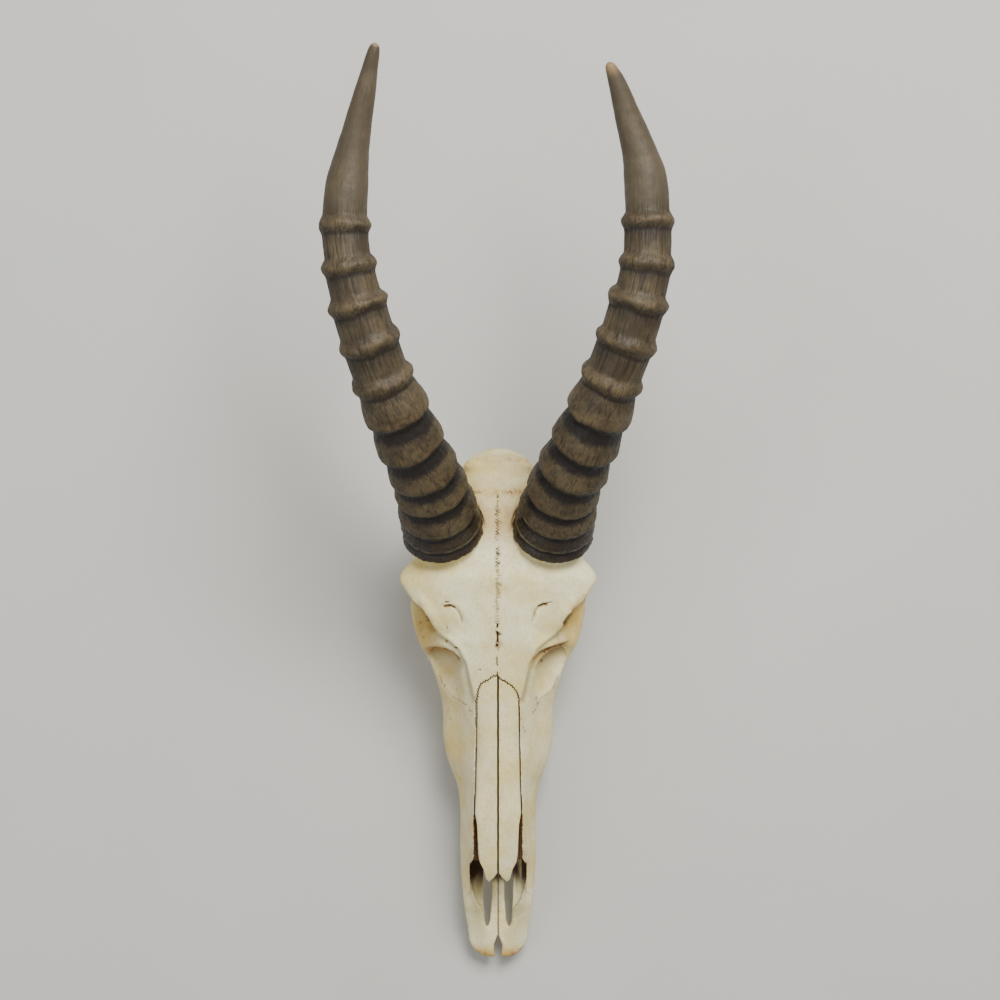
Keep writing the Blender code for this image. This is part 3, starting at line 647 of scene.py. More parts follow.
def line_distance(places, line, reach):
    """Distance in plan from each place to a line, FAR past reach, and how far along the line that is."""
    line = np.array(line, float)
    far = np.full(len(places), FAR)
    along = np.zeros(len(places))
    low, high = line.min(0) - reach, line.max(0) + reach
    near = np.where(np.all((places[:, :2] > low) & (places[:, :2] < high), axis=1))[0]
    p = places[near, :2]
    best, where = far[near], along[near]
    run = 0.0
    for a, b in zip(line, line[1:]):
        way = b - a
        length = np.hypot(*way)
        if length == 0:
            continue
        t = np.clip((p - a) @ way / length**2, 0, 1)
        gap = np.hypot(*(p - a - t[:, None] * way).T)
        closer = gap < best
        best = np.where(closer, gap, best)
        where = np.where(closer, run + t * length, where)
        run += length
    far[near], along[near] = best, where
    return far, along


def step_up(low, high, x):
    """0 at low, 1 at high, and smooth between; high may be the smaller."""
    t = np.clip((x - low) / (high - low), 0, 1)
    return t * t * (3 - 2 * t)


def bump(x, width):
    return np.exp(-((x / width) ** 2))


def zigzag(line, step, swing, seed):
    """A line that runs to and fro across the given one, as the edges of knitted bones do."""
    rng = np.random.RandomState(seed)
    line = np.array(line, float)
    lengths = np.hypot(*np.diff(line, axis=0).T)
    run = np.concatenate([[0], np.cumsum(lengths)])
    count = int(run[-1] / step)
    out = []
    for k in range(count + 1):
        s = run[-1] * k / count
        x, y = np.interp(s, run, line[:, 0]), np.interp(s, run, line[:, 1])
        i = min(np.searchsorted(run, s, side="right") - 1, len(lengths) - 1)
        way = (line[i + 1] - line[i]) / lengths[i]
        off = swing * (1 if k % 2 else -1) * rng.uniform(0.35, 1.0)
        out.append((x - way[1] * off, y + way[0] * off))
    return out


# ---- bone


def fused_bone():
    """All the bone of the skull in one skin, before it is parted into its real pieces."""
    pieces = [section_loft("skull", SKULL, skull_half), section_loft("brow", BROW, brow_half)]
    for centre, radii in MIDLINE_MASSES:
        pieces.append(ball("mass", centre, radii))
    for word, side in SIDES.items():
        pieces.append(orbit_rim(side))
        pieces.append(bar("arch", [at_side(row, side) for row in ARCH]))
        pieces.append(bar("process", [at_side(row, side) for row in PROCESS]))
        pieces.append(pedicle(HORN_LIPS[word], side))
        for centre, radii in MASSES:
            pieces.append(ball("mass", at_side(centre, side), radii))
    bone = joined("bone", pieces)
    fuse(bone, BONE_VOXEL, 14)
    return bone


def hollows():
    """Everything cut out of the fused bone."""
    tools = [
        section_loft("nose_hollow", NOSE_HOLLOW, hollow_half, NOSE_POINTS),
        ball("foramen", *FORAMEN_MAGNUM),
        ball("choana", *CHOANA),
    ]
    for side in SIDES.values():
        turn = orbit_frame(side)
        centre = Vector(at_side(ORBIT_CENTRE, side)) - turn.col[2] * ORBIT_SINK + turn.col[1] * ORBIT_RISE
        tools.append(ball("socket", centre, ORBIT_BOWL, turn))
        tilt = Matrix.Rotation(math.radians(FOSSA_TILT * side), 3, "Y")
        for fossa, radii in FOSSAE:
            tools.append(ball("fossa", at_side(fossa, side), radii, tilt))
        tools.append(ball("ear", at_side(EAR[0], side), EAR[1]))
    return tools


# Holes over the eyes and the smaller ones near them, darkened with painted shade. Each: line, half width,
# depth, darkness
HOLES = [
    ([(-38.4, -57.8), (-37.3, -58)], 0.6, 1.4, 0.8),
    ([(-39.4, -61.1), (-37.5, -60.5), (-34.6, -60.4), (-32.2, -61.7)], 0.66, 1.6, 0.72),
    ([(-31.8, -61.9), (-28.8, -65), (-27, -69), (-26.4, -72.2)], 0.75, 0.8, 0.42),
    ([(-54.9, -66.4), (-52.4, -71.2)], 0.45, 0.8, 0.85),
    ([(49.2, -74), (50.6, -71.6), (52.8, -68.4)], 1.05, 3.0, 1.0),
    ([(49, -74.6), (48, -77.6)], 0.45, 0.6, 0.5),
    ([(-37.3, -77), (-37.2, -77.4)], 0.55, 1.2, 0.8),
    ([(-38.1, -86.8), (-38, -87.1)], 0.6, 1.0, 0.75),
    ([(-31.4, -91.6), (-30.4, -91.8)], 0.6, 1.2, 0.85),
    ([(-13.2, -107.6), (-13.2, -107.9)], 0.5, 0.8, 0.75),
    ([(35.4, -59.4), (32.6, -59.7), (30.4, -60.9)], 0.75, 1.7, 0.72),
    ([(29.8, -61), (27.2, -64.6), (25.6, -69.5), (25.3, -71.8)], 0.7, 0.7, 0.4),
    ([(39.4, -58.0), (36.0, -58.6)], 0.5, 0.6, 0.5),
    ([(33.2, -102.8), (33.2, -103.2)], 0.55, 0.7, 0.7),
]

# Deep places on the floor of the sockets that show past the brow, darkened with painted shade
EYE_HOLES = [
    ([(-54.9, -66.2), (-51.9, -71.8)], 0.8, 1.5, 0.85),
    ([(48.8, -74.4), (50.6, -71.2), (53.2, -68)], 1.35, 3.0, 1.0),
]
EYE_FLOOR_TOP = 92

# The ridge that bounds the flat top of the face, and the sharp upper lips of the hollows before the eyes
FACE_RIDGE = [
    (65.1, -54.6), (58.8, -59.8), (52.2, -66.4), (49, -73), (43.2, -80.8), (34.4, -86), (27.6, -92.2),
    (22.3, -102.6), (19.4, -116.8), (16.6, -130),
]
SHELVES = [
    [(-54.5, -94), (-51, -91.9), (-46, -91.4), (-38.3, -91.8), (-33, -94), (-27.6, -98.8)],
    [(25.6, -99.2), (30, -94.4), (35.2, -91.6), (43, -89.7), (52.4, -87.6)],
]
SHELF_DROP = 2.4
# Where rusty blotches lie, and where shadow is painted in a rusty tint under the lips of the hollows before
# the eyes: line, reach, strength
RUST_AND_SHADOW_LINES = [
    ([(-17, 22.6), (-9, 22.6)], 2.2, 0.9), ([(4, 22.4), (16, 23.4)], 2.4, 1.0),
    ([(-9, 22.6), (4, 22.4)], 1.2, 0.6), ([(54.5, -63.5), (60, -58), (67.5, -49.5)], 1.3, 0.9),
    ([(-64, -55), (-56, -63)], 1.2, 0.6), ([(-24, 46), (-8, 47.4)], 1.0, 0.6),
    ([(8, 47.4), (23, 46.4)], 1.6, 0.8), ([(5, 4), (8.5, -6)], 1.8, 0.5),
    # These two lines are painted shadow under the lips of the hollows before the eyes, in a rusty tint
    ([(-51, -96.4), (-46, -95), (-38.5, -95.4), (-33, -98)], 2.2, 1.5),
    ([(33, -96.4), (42, -93.6), (50, -91.4)], 1.7, 1.1),
    ([(-19, -326), (-13, -330), (-4, -331.5)], 2.8, 1.1), ([(19, -326), (13, -330), (4, -331.5)], 2.8, 1.1),
    ([(-21, -256), (-20, -246)], 1.6, 1.1), ([(21, -257), (20, -246)], 1.8, 1.3),
    ([(-18.6, -246), (-18, -222)], 0.9, 1.0), ([(3, 20), (9, -2)], 2.2, 0.4),
    ([(-62.5, -60), (-58, -76), (-54, -88)], 2.0, 0.3),
]
NASAL_RIM = [(15.6, -131), (15.9, -164), (16.6, -196), (17.5, -215)]

# Shallow grooves and ridges in the roof of the skull: line, half width, depth (a ridge is negative)
RELIEF = [
    ([(-40.5, -60), (-37, -59.8), (-33, -59.9), (-30, -62.5), (-27.5, -67.5), (-26.2, -72)], 1.3, 0.9),
    ([(-41.5, -59.2), (-37, -58.7), (-32.5, -58.7), (-28.6, -61)], 0.9, -0.8),
    ([(-37.6, -64), (-35, -64.6), (-32.4, -64.6)], 2.2, 0.7),
    ([(30.4, -64), (34.8, -63.4)], 2.2, 0.7),
    ([(-41.2, -62), (-41.4, -72)], 1.0, 0.45),
    ([(38, -58.8), (34, -59.6), (30, -61.8), (26.8, -66), (25.4, -71.5)], 1.3, 0.9),
    ([(38.4, -56.9), (34, -57.6), (30.5, -58.9), (27.4, -61.8)], 1.1, -0.6),
    ([(38.6, -60), (40.4, -66), (40.8, -72)], 1.0, 0.4),
    ([(-24.5, 46.4), (-12, 47.4), (0, 48), (12, 47.4), (25, 46.2)], 1.4, -0.8),
    ([(-25, 44), (0, 45), (25, 44)], 1.2, 0.5),
]

# Seams of knitted bone. The one along the forehead has three stretches that swing to and fro by these amounts
FRONTAL_SEAM = [
    ([(-0.4, 21.4), (-0.6, 9)], 0.7),
    ([(-0.6, 9), (-0.3, -2.8), (-0.5, -22)], 2.0),
    ([(-0.5, -22), (-0.7, -74)], 1.5),
]
OPEN_CRACK = [(-0.3, -74.2), (-0.9, -79), (-0.2, -84), (-0.9, -89), (-0.3, -94.9)]
CRACK_TAIL = [(-0.3, -94.9), (-0.9, -101), (-0.3, -107), (-0.5, -112.6)]
CROWN_SEAM = [
    (-26.5, 21.5), (-19, 23.2), (-10, 22.6), (-2, 22.9), (5, 22.2), (12, 23), (20, 22.6), (27, 23.5),
]
FINE_SEAMS = [
    [(-44.7, -111), (-41.5, -120), (-38, -125), (-32.8, -130.5), (-27.5, -132.4)],
    [(-31.5, -123), (-29.8, -131), (-24, -135), (-18.5, -141)],
    [(-17.2, -125.5), (-15.9, -137), (-15.5, -144)],
    [(47, -108), (41, -124), (33, -131), (28.5, -137)],
    [(33.6, -121.5), (28.4, -129.5), (30, -138), (24, -142)],
    [(17.6, -124.5), (16.4, -132), (15.4, -138.5)],
    [(15.6, -140), (17.6, -149), (20.4, -156)],
    [(43, -141), (41.2, -153), (38, -160)],
    [(32, -96.2), (37, -94.2), (44, -93), (52.2, -91.6)],
]
# Pin holes, darkened with painted shade: x, y, size
SPECKS = [
    (-16.9, 12, 0.7), (2.9, 38.5, 0.6), (6, 40.5, 0.5), (-13.2, -107.8, 0.7), (-38.1, -86.9, 1.0),
    (60, -44.5, 0.6), (-58, -74.6, 0.8), (-56.8, -79.4, 0.9), (-55, -85, 0.8), (-31.4, -142.6, 1.0),
    (-36.4, -146.2, 0.7), (33.2, -103, 0.9), (37.5, -86, 0.6), (44, -80.5, 0.6), (-22, -151, 0.5),
    (21, -168, 0.5), (-24, -178, 0.5),
]
# Where the bone is tan: centre, half sizes, strength
TAN_PATCHES = [
    ((-56, -76, 76), (12, 28, 34), 0.9), ((57, -72, 76), (12, 28, 34), 0.9),
    ((-43, -94, 88), (14, 5, 12), 0.8), ((43, -91, 88), (14, 5, 12), 0.7),
    ((0, 8, 103), (13, 16, 12), 0.6), ((0, 23, 95), (27, 4.5, 10), 0.75),
    ((0, 43, 80), (34, 16, 16), 0.5), ((0, 30, 90), (30, 22, 20), 0.3),
    ((0, -335, 15), (34, 15, 18), 1.0), ((-36, -170, 60), (16, 110, 50), 0.42),
    ((36, -170, 60), (14, 110, 50), 0.2), ((-48, -30, 100), (16, 22, 20), 0.3),
    ((42, -40, 104), (12, 14, 12), 0.12), ((-30, -240, 40), (12, 50, 40), 0.3),
    ((30, -240, 40), (12, 50, 40), 0.25),
]


TAPER = 3  # over which a groove or ridge fades out at either end


def moved(line, side, across=0, along=0):
    """A line of one side, moved outwards and along the skull."""
    return [(side * (x + across), y + along) for x, y in line]


def relief(places, normals):
    """How far each place of the roof sinks for the grooves and ridges."""
    depth = np.zeros(len(places))
    facing = step_up(0.15, 0.5, normals[:, 2]) * step_up(60, 70, places[:, 2])
    ridges = []
    for side in SIDES.values():
        ridges.append((moved(FACE_RIDGE, side), 1.5, -1.0))
        ridges.append((moved(FACE_RIDGE[3:], side, 3.0, -2.2), 2.0, 0.9))
    for line, width, low in RELIEF + ridges:
        gap, along = line_distance(places, line, width * 3)
        length = sum(math.dist(a, b) for a, b in zip(line, line[1:]))
        ends = step_up(0, TAPER, along) * step_up(0, TAPER, length - along)
        depth += low * bump(gap, width) * (0.35 + 0.65 * ends)
    swell = 0.55 * noise(places, 17, 3) + 0.22 * noise(places, 6.5, 4)
    return depth * facing + 0.5 * swell


def shaped(ob):
    """Works the grooves, ridges and the slight unevenness of bone into a skin."""
    places, normals = vertex_places(ob.data), vertex_normals(ob.data)
    grain = relief(places, normals) + 0.06 * noise(places * (1, 0.4, 1), 1.6, 5)
    set_places(ob.data, places - normals * grain[:, None])


ROOF_DEPTH = 32  # how far below the ridge of the skull its seams and holes lie at most
FINE_REACH = 1.5
FINE_EDGE = 0.42


def roof_height(y):
    return np.interp(y, [row[0] for row in SKULL], [row[1] for row in SKULL])


def make_finer(ob, lines):
    """Splits the faces of the roof that lie along any of the lines until their edges are short."""
    bm = bmesh.new()
    bm.from_mesh(ob.data)
    for _ in range(3):
        bm.verts.ensure_lookup_table()
        places = np.array([v.co for v in bm.verts]) / MM
        near = np.zeros(len(places), bool)
        for line in lines:
            near |= line_distance(places, line, FINE_REACH)[0] < FINE_REACH
        near &= places[:, 2] > roof_height(places[:, 1]) - ROOF_DEPTH
        near &= np.array([v.normal.z for v in bm.verts]) > -0.1
        edges = []
        for edge in bm.edges:
            a, b = edge.verts
            if near[a.index] and near[b.index] and edge.calc_length() > FINE_EDGE * MM:
                edges.append(edge)
        if not edges:
            break
        bmesh.ops.subdivide_edges(bm, edges=edges, cuts=1, use_grid_fill=True)
        bmesh.ops.triangulate(bm, faces=[f for f in bm.faces if len(f.verts) > 3])
        bm.verts.index_update()
    bm.to_mesh(ob.data)
    bm.free()
    ob.data.update()


def seam_lines():
    """Every seam of the roof: line, half width, depth, darkness, and how its colour breaks up along it."""
    stitched = []
    for k, (line, swing) in enumerate(FRONTAL_SEAM):
        stitched += zigzag(line, 1.05, swing, 11 + 30 * k)
    seams = [
        (stitched, 0.36, 0.4, 1.0, "stitched"),
        (zigzag(CROWN_SEAM, 1.3, 0.9, 12), 0.4, 0.3, 0.8, "broken"),
        (OPEN_CRACK, 0.52, 3.4, 1.0, "whole"),
        (zigzag(CRACK_TAIL, 1.2, 0.35, 14), 0.36, 0.8, 0.95, "whole"),
    ]
    for side in SIDES.values():
        seams.append((moved(knit_edge(side, 0.12)[1:], side), 0.34, 0.3, 0.9, "whole"))
        seams.append((moved(NASAL_RIM, side), 0.42, 0.35, 0.95, "whole"))
    for k, line in enumerate(FINE_SEAMS):
        seams.append((zigzag(line, 1.6, 0.5, 20 + k), 0.38, 0.25, 0.62, "broken"))
    return seams


NOSE_MOUTH = -255.5  # where the nose opens in front of the nasal bones
NOSE_BACK = -126
CAVE_HALF, CAVE_FLOOR, CAVE_TOP = 21.5, 19.5, 60


def painted_nose_shade(places, nasal):
    """How much painted shade, dark red-brown, the inside of the nose and the trench under the nasal bones
    get.
    """
    x, y, z = np.abs(places[:, 0]), places[:, 1], places[:, 2]
    seat_x, seat_y = zip(*NASAL_SEAT[-2:1:-1])
    wall = np.interp(y, seat_y, seat_x)
    trench = (x < wall - 0.15) & (y > NOSE_MOUTH) & (y < NOSE_BACK) & (z > 0.55 * roof_height(y))
    trench &= not nasal
    cave = (x < CAVE_HALF) & (y <= NOSE_MOUTH) & (z < CAVE_TOP) & (z > CAVE_FLOOR)
    corner = 0.6 * step_up(15.5, 19.5, x) * step_up(-288, -270, y)
    depth = np.maximum(step_up(-278, -266, y), corner)
    return np.maximum(np.where(trench, 1.0, 0), np.where(cave, depth, 0))


ROOF_LEAST = 60  # the roof's holes and lips all lie above this height


def under_shelf(places, line):
    """How far places just below a lip sink and how much painted shadow, in a rusty tint, they get; the lip
    itself stands a little proud.
    """
    x, y = np.array(line, float).T
    below = np.interp(places[:, 0], x, y) - places[:, 1]
    wide = step_up(x[0] - 1.5, x[0] + 3, places[:, 0]) * step_up(x[-1] + 1.5, x[-1] - 3, places[:, 0])
    wide *= places[:, 2] > ROOF_LEAST
    drop = SHELF_DROP * step_up(-0.2, 1.3, below) * step_up(15, 4, below) - 0.7 * bump(below + 1.1, 1.2)
    return drop * wide, step_up(-0.3, 1.0, below) * step_up(9, 2, below) * wide


def midlines():
    """The seams between the two nasal bones and between the two bones at the tip of the nose."""
    tip = zigzag([(0.1, -262), (0.1, -290)], 4, 0.1, 72) + zigzag([(0.1, -291), (0.1, -313)], 1.6, 0.45, 73)
    return [
        (zigzag([(0, -113.5), (0, -261)], 7, 0.12, 71), 0.5, 0.5, 1.0, "whole"),
        (tip, 0.34, 0.3, 0.95, "whole"),
    ]


def near_line(places, line, reach, width):
    """1 on a line in plan and fading over about this width on either side, worked out as far as reach."""
    return bump(line_distance(places, line, reach)[0], width)


SEAM_NEAR, HOLE_NEAR, EYE_HOLE_NEAR = 4, 5, 8  # how far out each is worked out
SEAM_SPREAD, HOLE_SPREAD = 1.25, 1.1  # how much wider the dark of each is than its hollow
FLECKED = (-78, -70, -30, -14)  # y over which the band of flecks by the forehead's seam comes in and goes
FLECKED_HALF = 2.7
SPECK_SHARE = 0.8


def seam_marks(places, seams, broken):
    """How far the seams sink each place, and how dark they make it."""
    sink, dark = np.zeros(len(places)), np.zeros(len(places))
    for line, width, depth, tone, kind in seams:
        gap = line_distance(places, line, SEAM_NEAR)[0]
        shade = tone * bump(gap, width * SEAM_SPREAD)
        hollow = depth * bump(gap, width)
        if kind == "stitched":
            fade = 1 - 0.42 * step_up(40, 96, 21 - places[:, 1])
            shade *= fade * np.clip(0.3 + 0.9 * broken, 0, 1)
            hollow *= fade
        elif kind == "broken":
            shade *= np.clip(broken * 1.5 - 0.25, 0, 1)
        sink += hollow
        dark = np.maximum(dark, shade)
    return sink, dark


def hole_marks(places):
    """How far the holes sink each place, and how dark the painted shade in them makes it."""
    sink, dark = np.zeros(len(places)), np.zeros(len(places))
    for holes, reach, top in ((HOLES, HOLE_NEAR, ABOVE), (EYE_HOLES, EYE_HOLE_NEAR, EYE_FLOOR_TOP)):
        for line, width, depth, tone in holes:
            gap = np.where(places[:, 2] < top, line_distance(places, line, reach)[0], FAR)
            sink += depth * bump(gap, width)
            dark = np.maximum(dark, tone * bump(gap, width * HOLE_SPREAD))
    return sink, dark


def seamed(ob, more=()):
    """Sinks the seams and pin holes into the roof, and keeps how dark, rusty or shaded each place is, with
    painted shade in the holes and painted shadow along the lips and the face's ridge.

    Only the nasal bones and the tip of the nose have more seams than those of the roof.
    """
    places, normals = vertex_places(ob.data), vertex_normals(ob.data)
    x, y, z = places.T
    facing = step_up(0.0, 0.25, normals[:, 2])
    broken = 0.55 + 0.45 * noise(places, 2.2, 31)
    sink, dark = seam_marks(places, seam_lines() + list(more), broken)
    # The holes sink and get painted shade
    hole, pit = hole_marks(places)
    sink += hole
    pit *= step_up(-0.45, -0.2, normals[:, 2]) * (z > ROOF_LEAST)
    rust_and_shadow, shade = np.zeros(len(places)), np.zeros(len(places))
    # Under each lip: painted shadow in a rusty tint and as a thin dark line, and painted shade further down
    for line in SHELVES:
        drop, under = under_shelf(places, line)
        sink += drop
        rust_and_shadow = np.maximum(rust_and_shadow, under)
        dark = np.maximum(dark, 0.42 * near_line(places, moved(line, 1, 0, -0.5), 4, 0.4))
        lower = near_line(places, moved(line, 1, 0, -5), 12, 4.2)
        shade = np.maximum(shade, lower * (0.85 + 0.15 * broken))
    # Beside the face's ridge: painted shade on the wall below it and a thin line of painted shadow
    for side in SIDES.values():
        wall = near_line(places, moved(FACE_RIDGE, side, 1.6, -1.3), 6, 1.6)
        shade = np.maximum(shade, 0.85 * wall * (0.8 + 0.2 * broken))
        dark = np.maximum(dark, 0.3 * near_line(places, moved(FACE_RIDGE, side, 0.9, -0.7), 4, 0.35))
    blotch = np.clip(noise(places, 1.7, 36) * 1.6 + 0.35, 0, 1)
    fleck = np.clip(noise(places, 0.9, 37) * 2.4 - 0.9, 0, 1)
    for line, reach, tone in RUST_AND_SHADOW_LINES:
        by_line = near_line(places, line, 3 * reach, reach)
        rust_and_shadow = np.maximum(rust_and_shadow, np.minimum(tone * by_line * blotch, 0.9))
        dark = np.maximum(dark, 0.6 * min(tone, 1) * by_line * fleck)
    # The pin holes sink a little and are darkened with painted shade
    for speck_x, speck_y, size in SPECKS:
        spot = bump(np.hypot(x - speck_x, y - speck_y), size * SPECK_SHARE)
        sink += 0.5 * spot
        dark = np.maximum(dark, 0.85 * spot)
    band = bump(x + 0.5, FLECKED_HALF) * step_up(*FLECKED[:2], y) * step_up(*FLECKED[:1:-1], y)
    dots = band * np.clip(noise(places, 0.8, 33) * 2.6 - 1.1, 0, 1)
    dark = np.maximum(dark, dots)
    sink = (sink + 0.15 * dots) * facing
    set_places(ob.data, places - normals * sink[:, None])
    split = 0.95 * (np.abs(x) < 0.62) * (y > -261.5) if more else 0
    set_mask(ob.data, "seams_and_shade", np.maximum(np.maximum(dark * facing, pit), split))
    set_mask(ob.data, "rust_and_shadow", rust_and_shadow * (0.75 + 0.35 * noise(places, 3.5, 35)))
    set_mask(ob.data, "shade", shade * facing)
    set_mask(ob.data, "inner", painted_nose_shade(places, bool(more)))


RAYS = 14
RAY_STARTS = 16000  # vertices of a piece that rays start from, about
START_OFF = 1.6
RAY_REACH = 26
SPREAD_ROUNDS = 9
TINY = 1e-6


def painted_occlusion(ob, tree, seed):
    """How much of the sky each place of a skin is cut off from by the rest of the skull, for the painted
    shade of its hollows.
    """
    places, normals = vertex_places(ob.data) * MM, vertex_normals(ob.data)
    rng = np.random.RandomState(seed)
    ways = rng.normal(size=(RAYS, 3))
    ways /= np.linalg.norm(ways, axis=1)[:, None]
    hidden, known = np.zeros(len(places)), np.zeros(len(places))
    starts = places + normals * START_OFF * MM
    chosen = range(0, len(places), max(1, len(places) // RAY_STARTS))
    for i in chosen:
        start, known[i] = Vector(starts[i]), 1
        for way in ways:
            ray = Vector(way if normals[i] @ way > 0 else -way)
            if tree.ray_cast(start, ray, RAY_REACH * MM)[0] is not None:
                hidden[i] += 1 / RAYS
    return spread(ob, hidden, SPREAD_ROUNDS) / np.maximum(spread(ob, known, SPREAD_ROUNDS), TINY)


def stain(places):
    """Where the bone is tan, as it is round the eyes, between the horns and at the tip of the nose."""
    total = np.zeros(len(places))
    for centre, size, strength in TAN_PATCHES:
        gap = np.linalg.norm((places - centre) / size, axis=1)
        total = np.maximum(total, strength * (1 - step_up(0.45, 1.25, gap)))
    return total


def spread(ob, values, rounds):
    """Values at vertices, evened out between neighbours."""
    mesh = ob.data
    ends = np.empty(len(mesh.edges) * 2, dtype=np.int64)
    mesh.edges.foreach_get("vertices", ends)
    a, b = ends.reshape(-1, 2).T
    count = np.bincount(a, minlength=len(values)) + np.bincount(b, minlength=len(values))
    for _ in range(rounds):
        total = np.bincount(a, values[b], len(values)) + np.bincount(b, values[a], len(values))
        values = 0.5 * values + 0.5 * total / np.maximum(count, 1)
    return values


def cad_tree():
    """The CAD solids as one body that rays can hit."""
    verts, faces = [], []
    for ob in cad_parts.values():
        first = len(verts)
        verts.extend(v.co.copy() for v in ob.data.vertices)
        faces.extend([first + i for i in poly.vertices] for poly in ob.data.polygons)
    return BVHTree.FromPolygons(verts, faces)


def dressed(ob, tree, mat, seed):
    """Masks and a finish for a bone, with less painted shade in the nose and the hollows than the rays find.
    """
    places = vertex_places(ob.data)
    lit = 1 - 0.7 * (np.abs(places[:, 0]) < 22) * step_up(-262, -285, places[:, 1]) * (places[:, 2] > 18)
    for line in SHELVES:
        lit *= 1 - 0.75 * near_line(places, moved(line, 1, 0, -4), 16, 8)
    set_mask(ob.data, "painted_occlusion", painted_occlusion(ob, tree, seed) * lit)
    set_mask(ob.data, "stain", stain(places))
    finish(ob, mat)


def finish(ob, mat):
    """Smooth shading, a material, and a place on the object."""
    ob.data.materials.clear()
    ob.data.materials.append(mat)
    ob.data.shade_smooth()
    keep_inside(ob)
    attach(ob, "root")


def keep_inside(ob):
    """Holds every vertex within the box of the CAD model."""
    low, high = np.array(CAD_BOX[0]), np.array(CAD_BOX[1])
    set_places(ob.data, np.clip(vertex_places(ob.data) * MM, low, high) / MM)


def copy_of(bone, name):
    ob = bpy.data.objects.new(name, bone.data.copy())
    bpy.context.scene.collection.objects.link(ob)
    return ob


def under_roof(depth):
    """The height this far under the skull's roof, as a function of y."""

    def height(y):
        return spline(SKULL, y)[0] - depth

    return height


def off_midline(outline):
    """An outline kept half a gap off the midline."""
    return [(max(x, GAP / 2), y) for x, y in outline]


KNIT_STEP, KNIT_SWING = 1.1, 0.9


def knit_edge(side, off):
    """The finely toothed back edge of a nasal bone, moved outwards by off."""
    line = zigzag(NASAL_BACK[side], KNIT_STEP, KNIT_SWING, 50 + side)
    spread_out = [(x + off * 0.7, y + off) for x, y in line]
    return [(0, spread_out[0][1])] + [(x, y) for x, y in spread_out if x > 0.3]


FLOOR_CUT = [(0, -340), (90, -340), (90, 90), (0, 90)]


def make_cranium(bone):
    cranium = copy_of(bone, "skull_bone")
    floor = both_sides(FLOOR_CUT)
    seat = under_roof(SEAM_DEPTH + SEAM_ROOM)
    foot, top = [(y + SEAM_SHIFT, z) for y, z in (SEAM_FOOT, SEAM_TOP)]
    front = [(PREMAXILLA[0][1], foot[1]), foot, top, (PREMAXILLA[0][1], top[1])]
    width, back = PRONG[0] + GAP, PRONG[1] + GAP
    prong = both_sides([(0, SEAM_FOOT[0]), (width, SEAM_FOOT[0]), (width, back), (0, back)])
    tools = [
        prism("floor_cut", floor, 1, BELOW, 0),
        prism("aperture", both_sides(APERTURE), 1, APERTURE_FLOOR, ABOVE),
        side_block("front_cut", front, -SEAM_REACH, SEAM_REACH),
        prism("prong_cut", prong, 1, BELOW, SLIT_TOP),
    ]
    for word, side in SIDES.items():
        tools.append(prism("slit", PALATE_SLIT, side, BELOW, SLIT_TOP))
        tools.append(socket_cutter(side))
        tools.append(seat_cutter(HORN_LIPS[word]))
        outline = knit_edge(side, 0.25) + NASAL_SEAT[NASAL_KNIT:]
        tools.append(prism("nasal_seat", [(x if x > 0 else -0.5, y) for x, y in outline], side, seat, ABOVE))
    cut_all(cranium, tools)
    return cranium


def make_nasal(bone, side, word):
    nasal = copy_of(bone, f"nasal_bone_{word}")
    outline = knit_edge(side, 0) + NASAL[NASAL_KNIT:]
    block = prism("nasal_block", off_midline(outline), side, under_roof(SEAM_DEPTH), ABOVE)
    cut_all(nasal, [block], "INTERSECT")
    return nasal


def make_premaxilla(bone, side, word):
    premaxilla = copy_of(bone, f"nose_tip_{word}")
    cut_all(premaxilla, [prism("front_block", off_midline(PREMAXILLA), side, BELOW, ABOVE)], "INTERSECT")
    back = PREMAXILLA[-1][1]
    behind = [SEAM_FOOT, (back, SEAM_FOOT[1]), (back, SEAM_TOP[1]), SEAM_TOP]
    width = PRONG[0] + GAP
    behind_prong = both_sides([(0, PRONG[1]), (width, PRONG[1]), (width, back), (0, back)])
    tools = [
        side_block("behind_seam", behind, side * PRONG[0], side * SEAM_REACH),
        prism("behind_prong", behind_prong, 1, BELOW, ABOVE),
        prism("front_open", both_sides(APERTURE), 1, APERTURE_FLOOR, ABOVE),
        prism("front_slit", PALATE_SLIT, side, BELOW, SLIT_TOP),
        prism("tip_notch", both_sides(TIP_NOTCH), 1, BELOW, ABOVE),
    ]
    cut_all(premaxilla, tools)
    return premaxilla


# ---- teeth


def row_place(s):
    """A point at s along the tooth row, and the way the row runs there."""
    first = (Vector(ROW[1]) - Vector(ROW[0])).length
    if s < first:
        way = (Vector(ROW[1]) - Vector(ROW[0])).normalized()
        return Vector(ROW[0]) + way * s, way
    way = (Vector(ROW[2]) - Vector(ROW[1])).normalized()
    return Vector(ROW[1]) + way * (s - first), way


def socket_cutter(side):
    """The trench that one row of teeth stands in."""
    edges = ([], [])
    for s in SOCKET_PLACES:
        place, way = row_place(s)
        outward = Vector((way.y, -way.x))
        half = min(SOCKET_HALF, SOCKET_FRONT + SOCKET_FLARE * max(s, 0))
        edges[0].append(place + outward * half)
        edges[1].append(place - outward * half)
    return prism("socket", edges[0] + edges[1][::-1], side, BELOW, SOCKET_TOP)


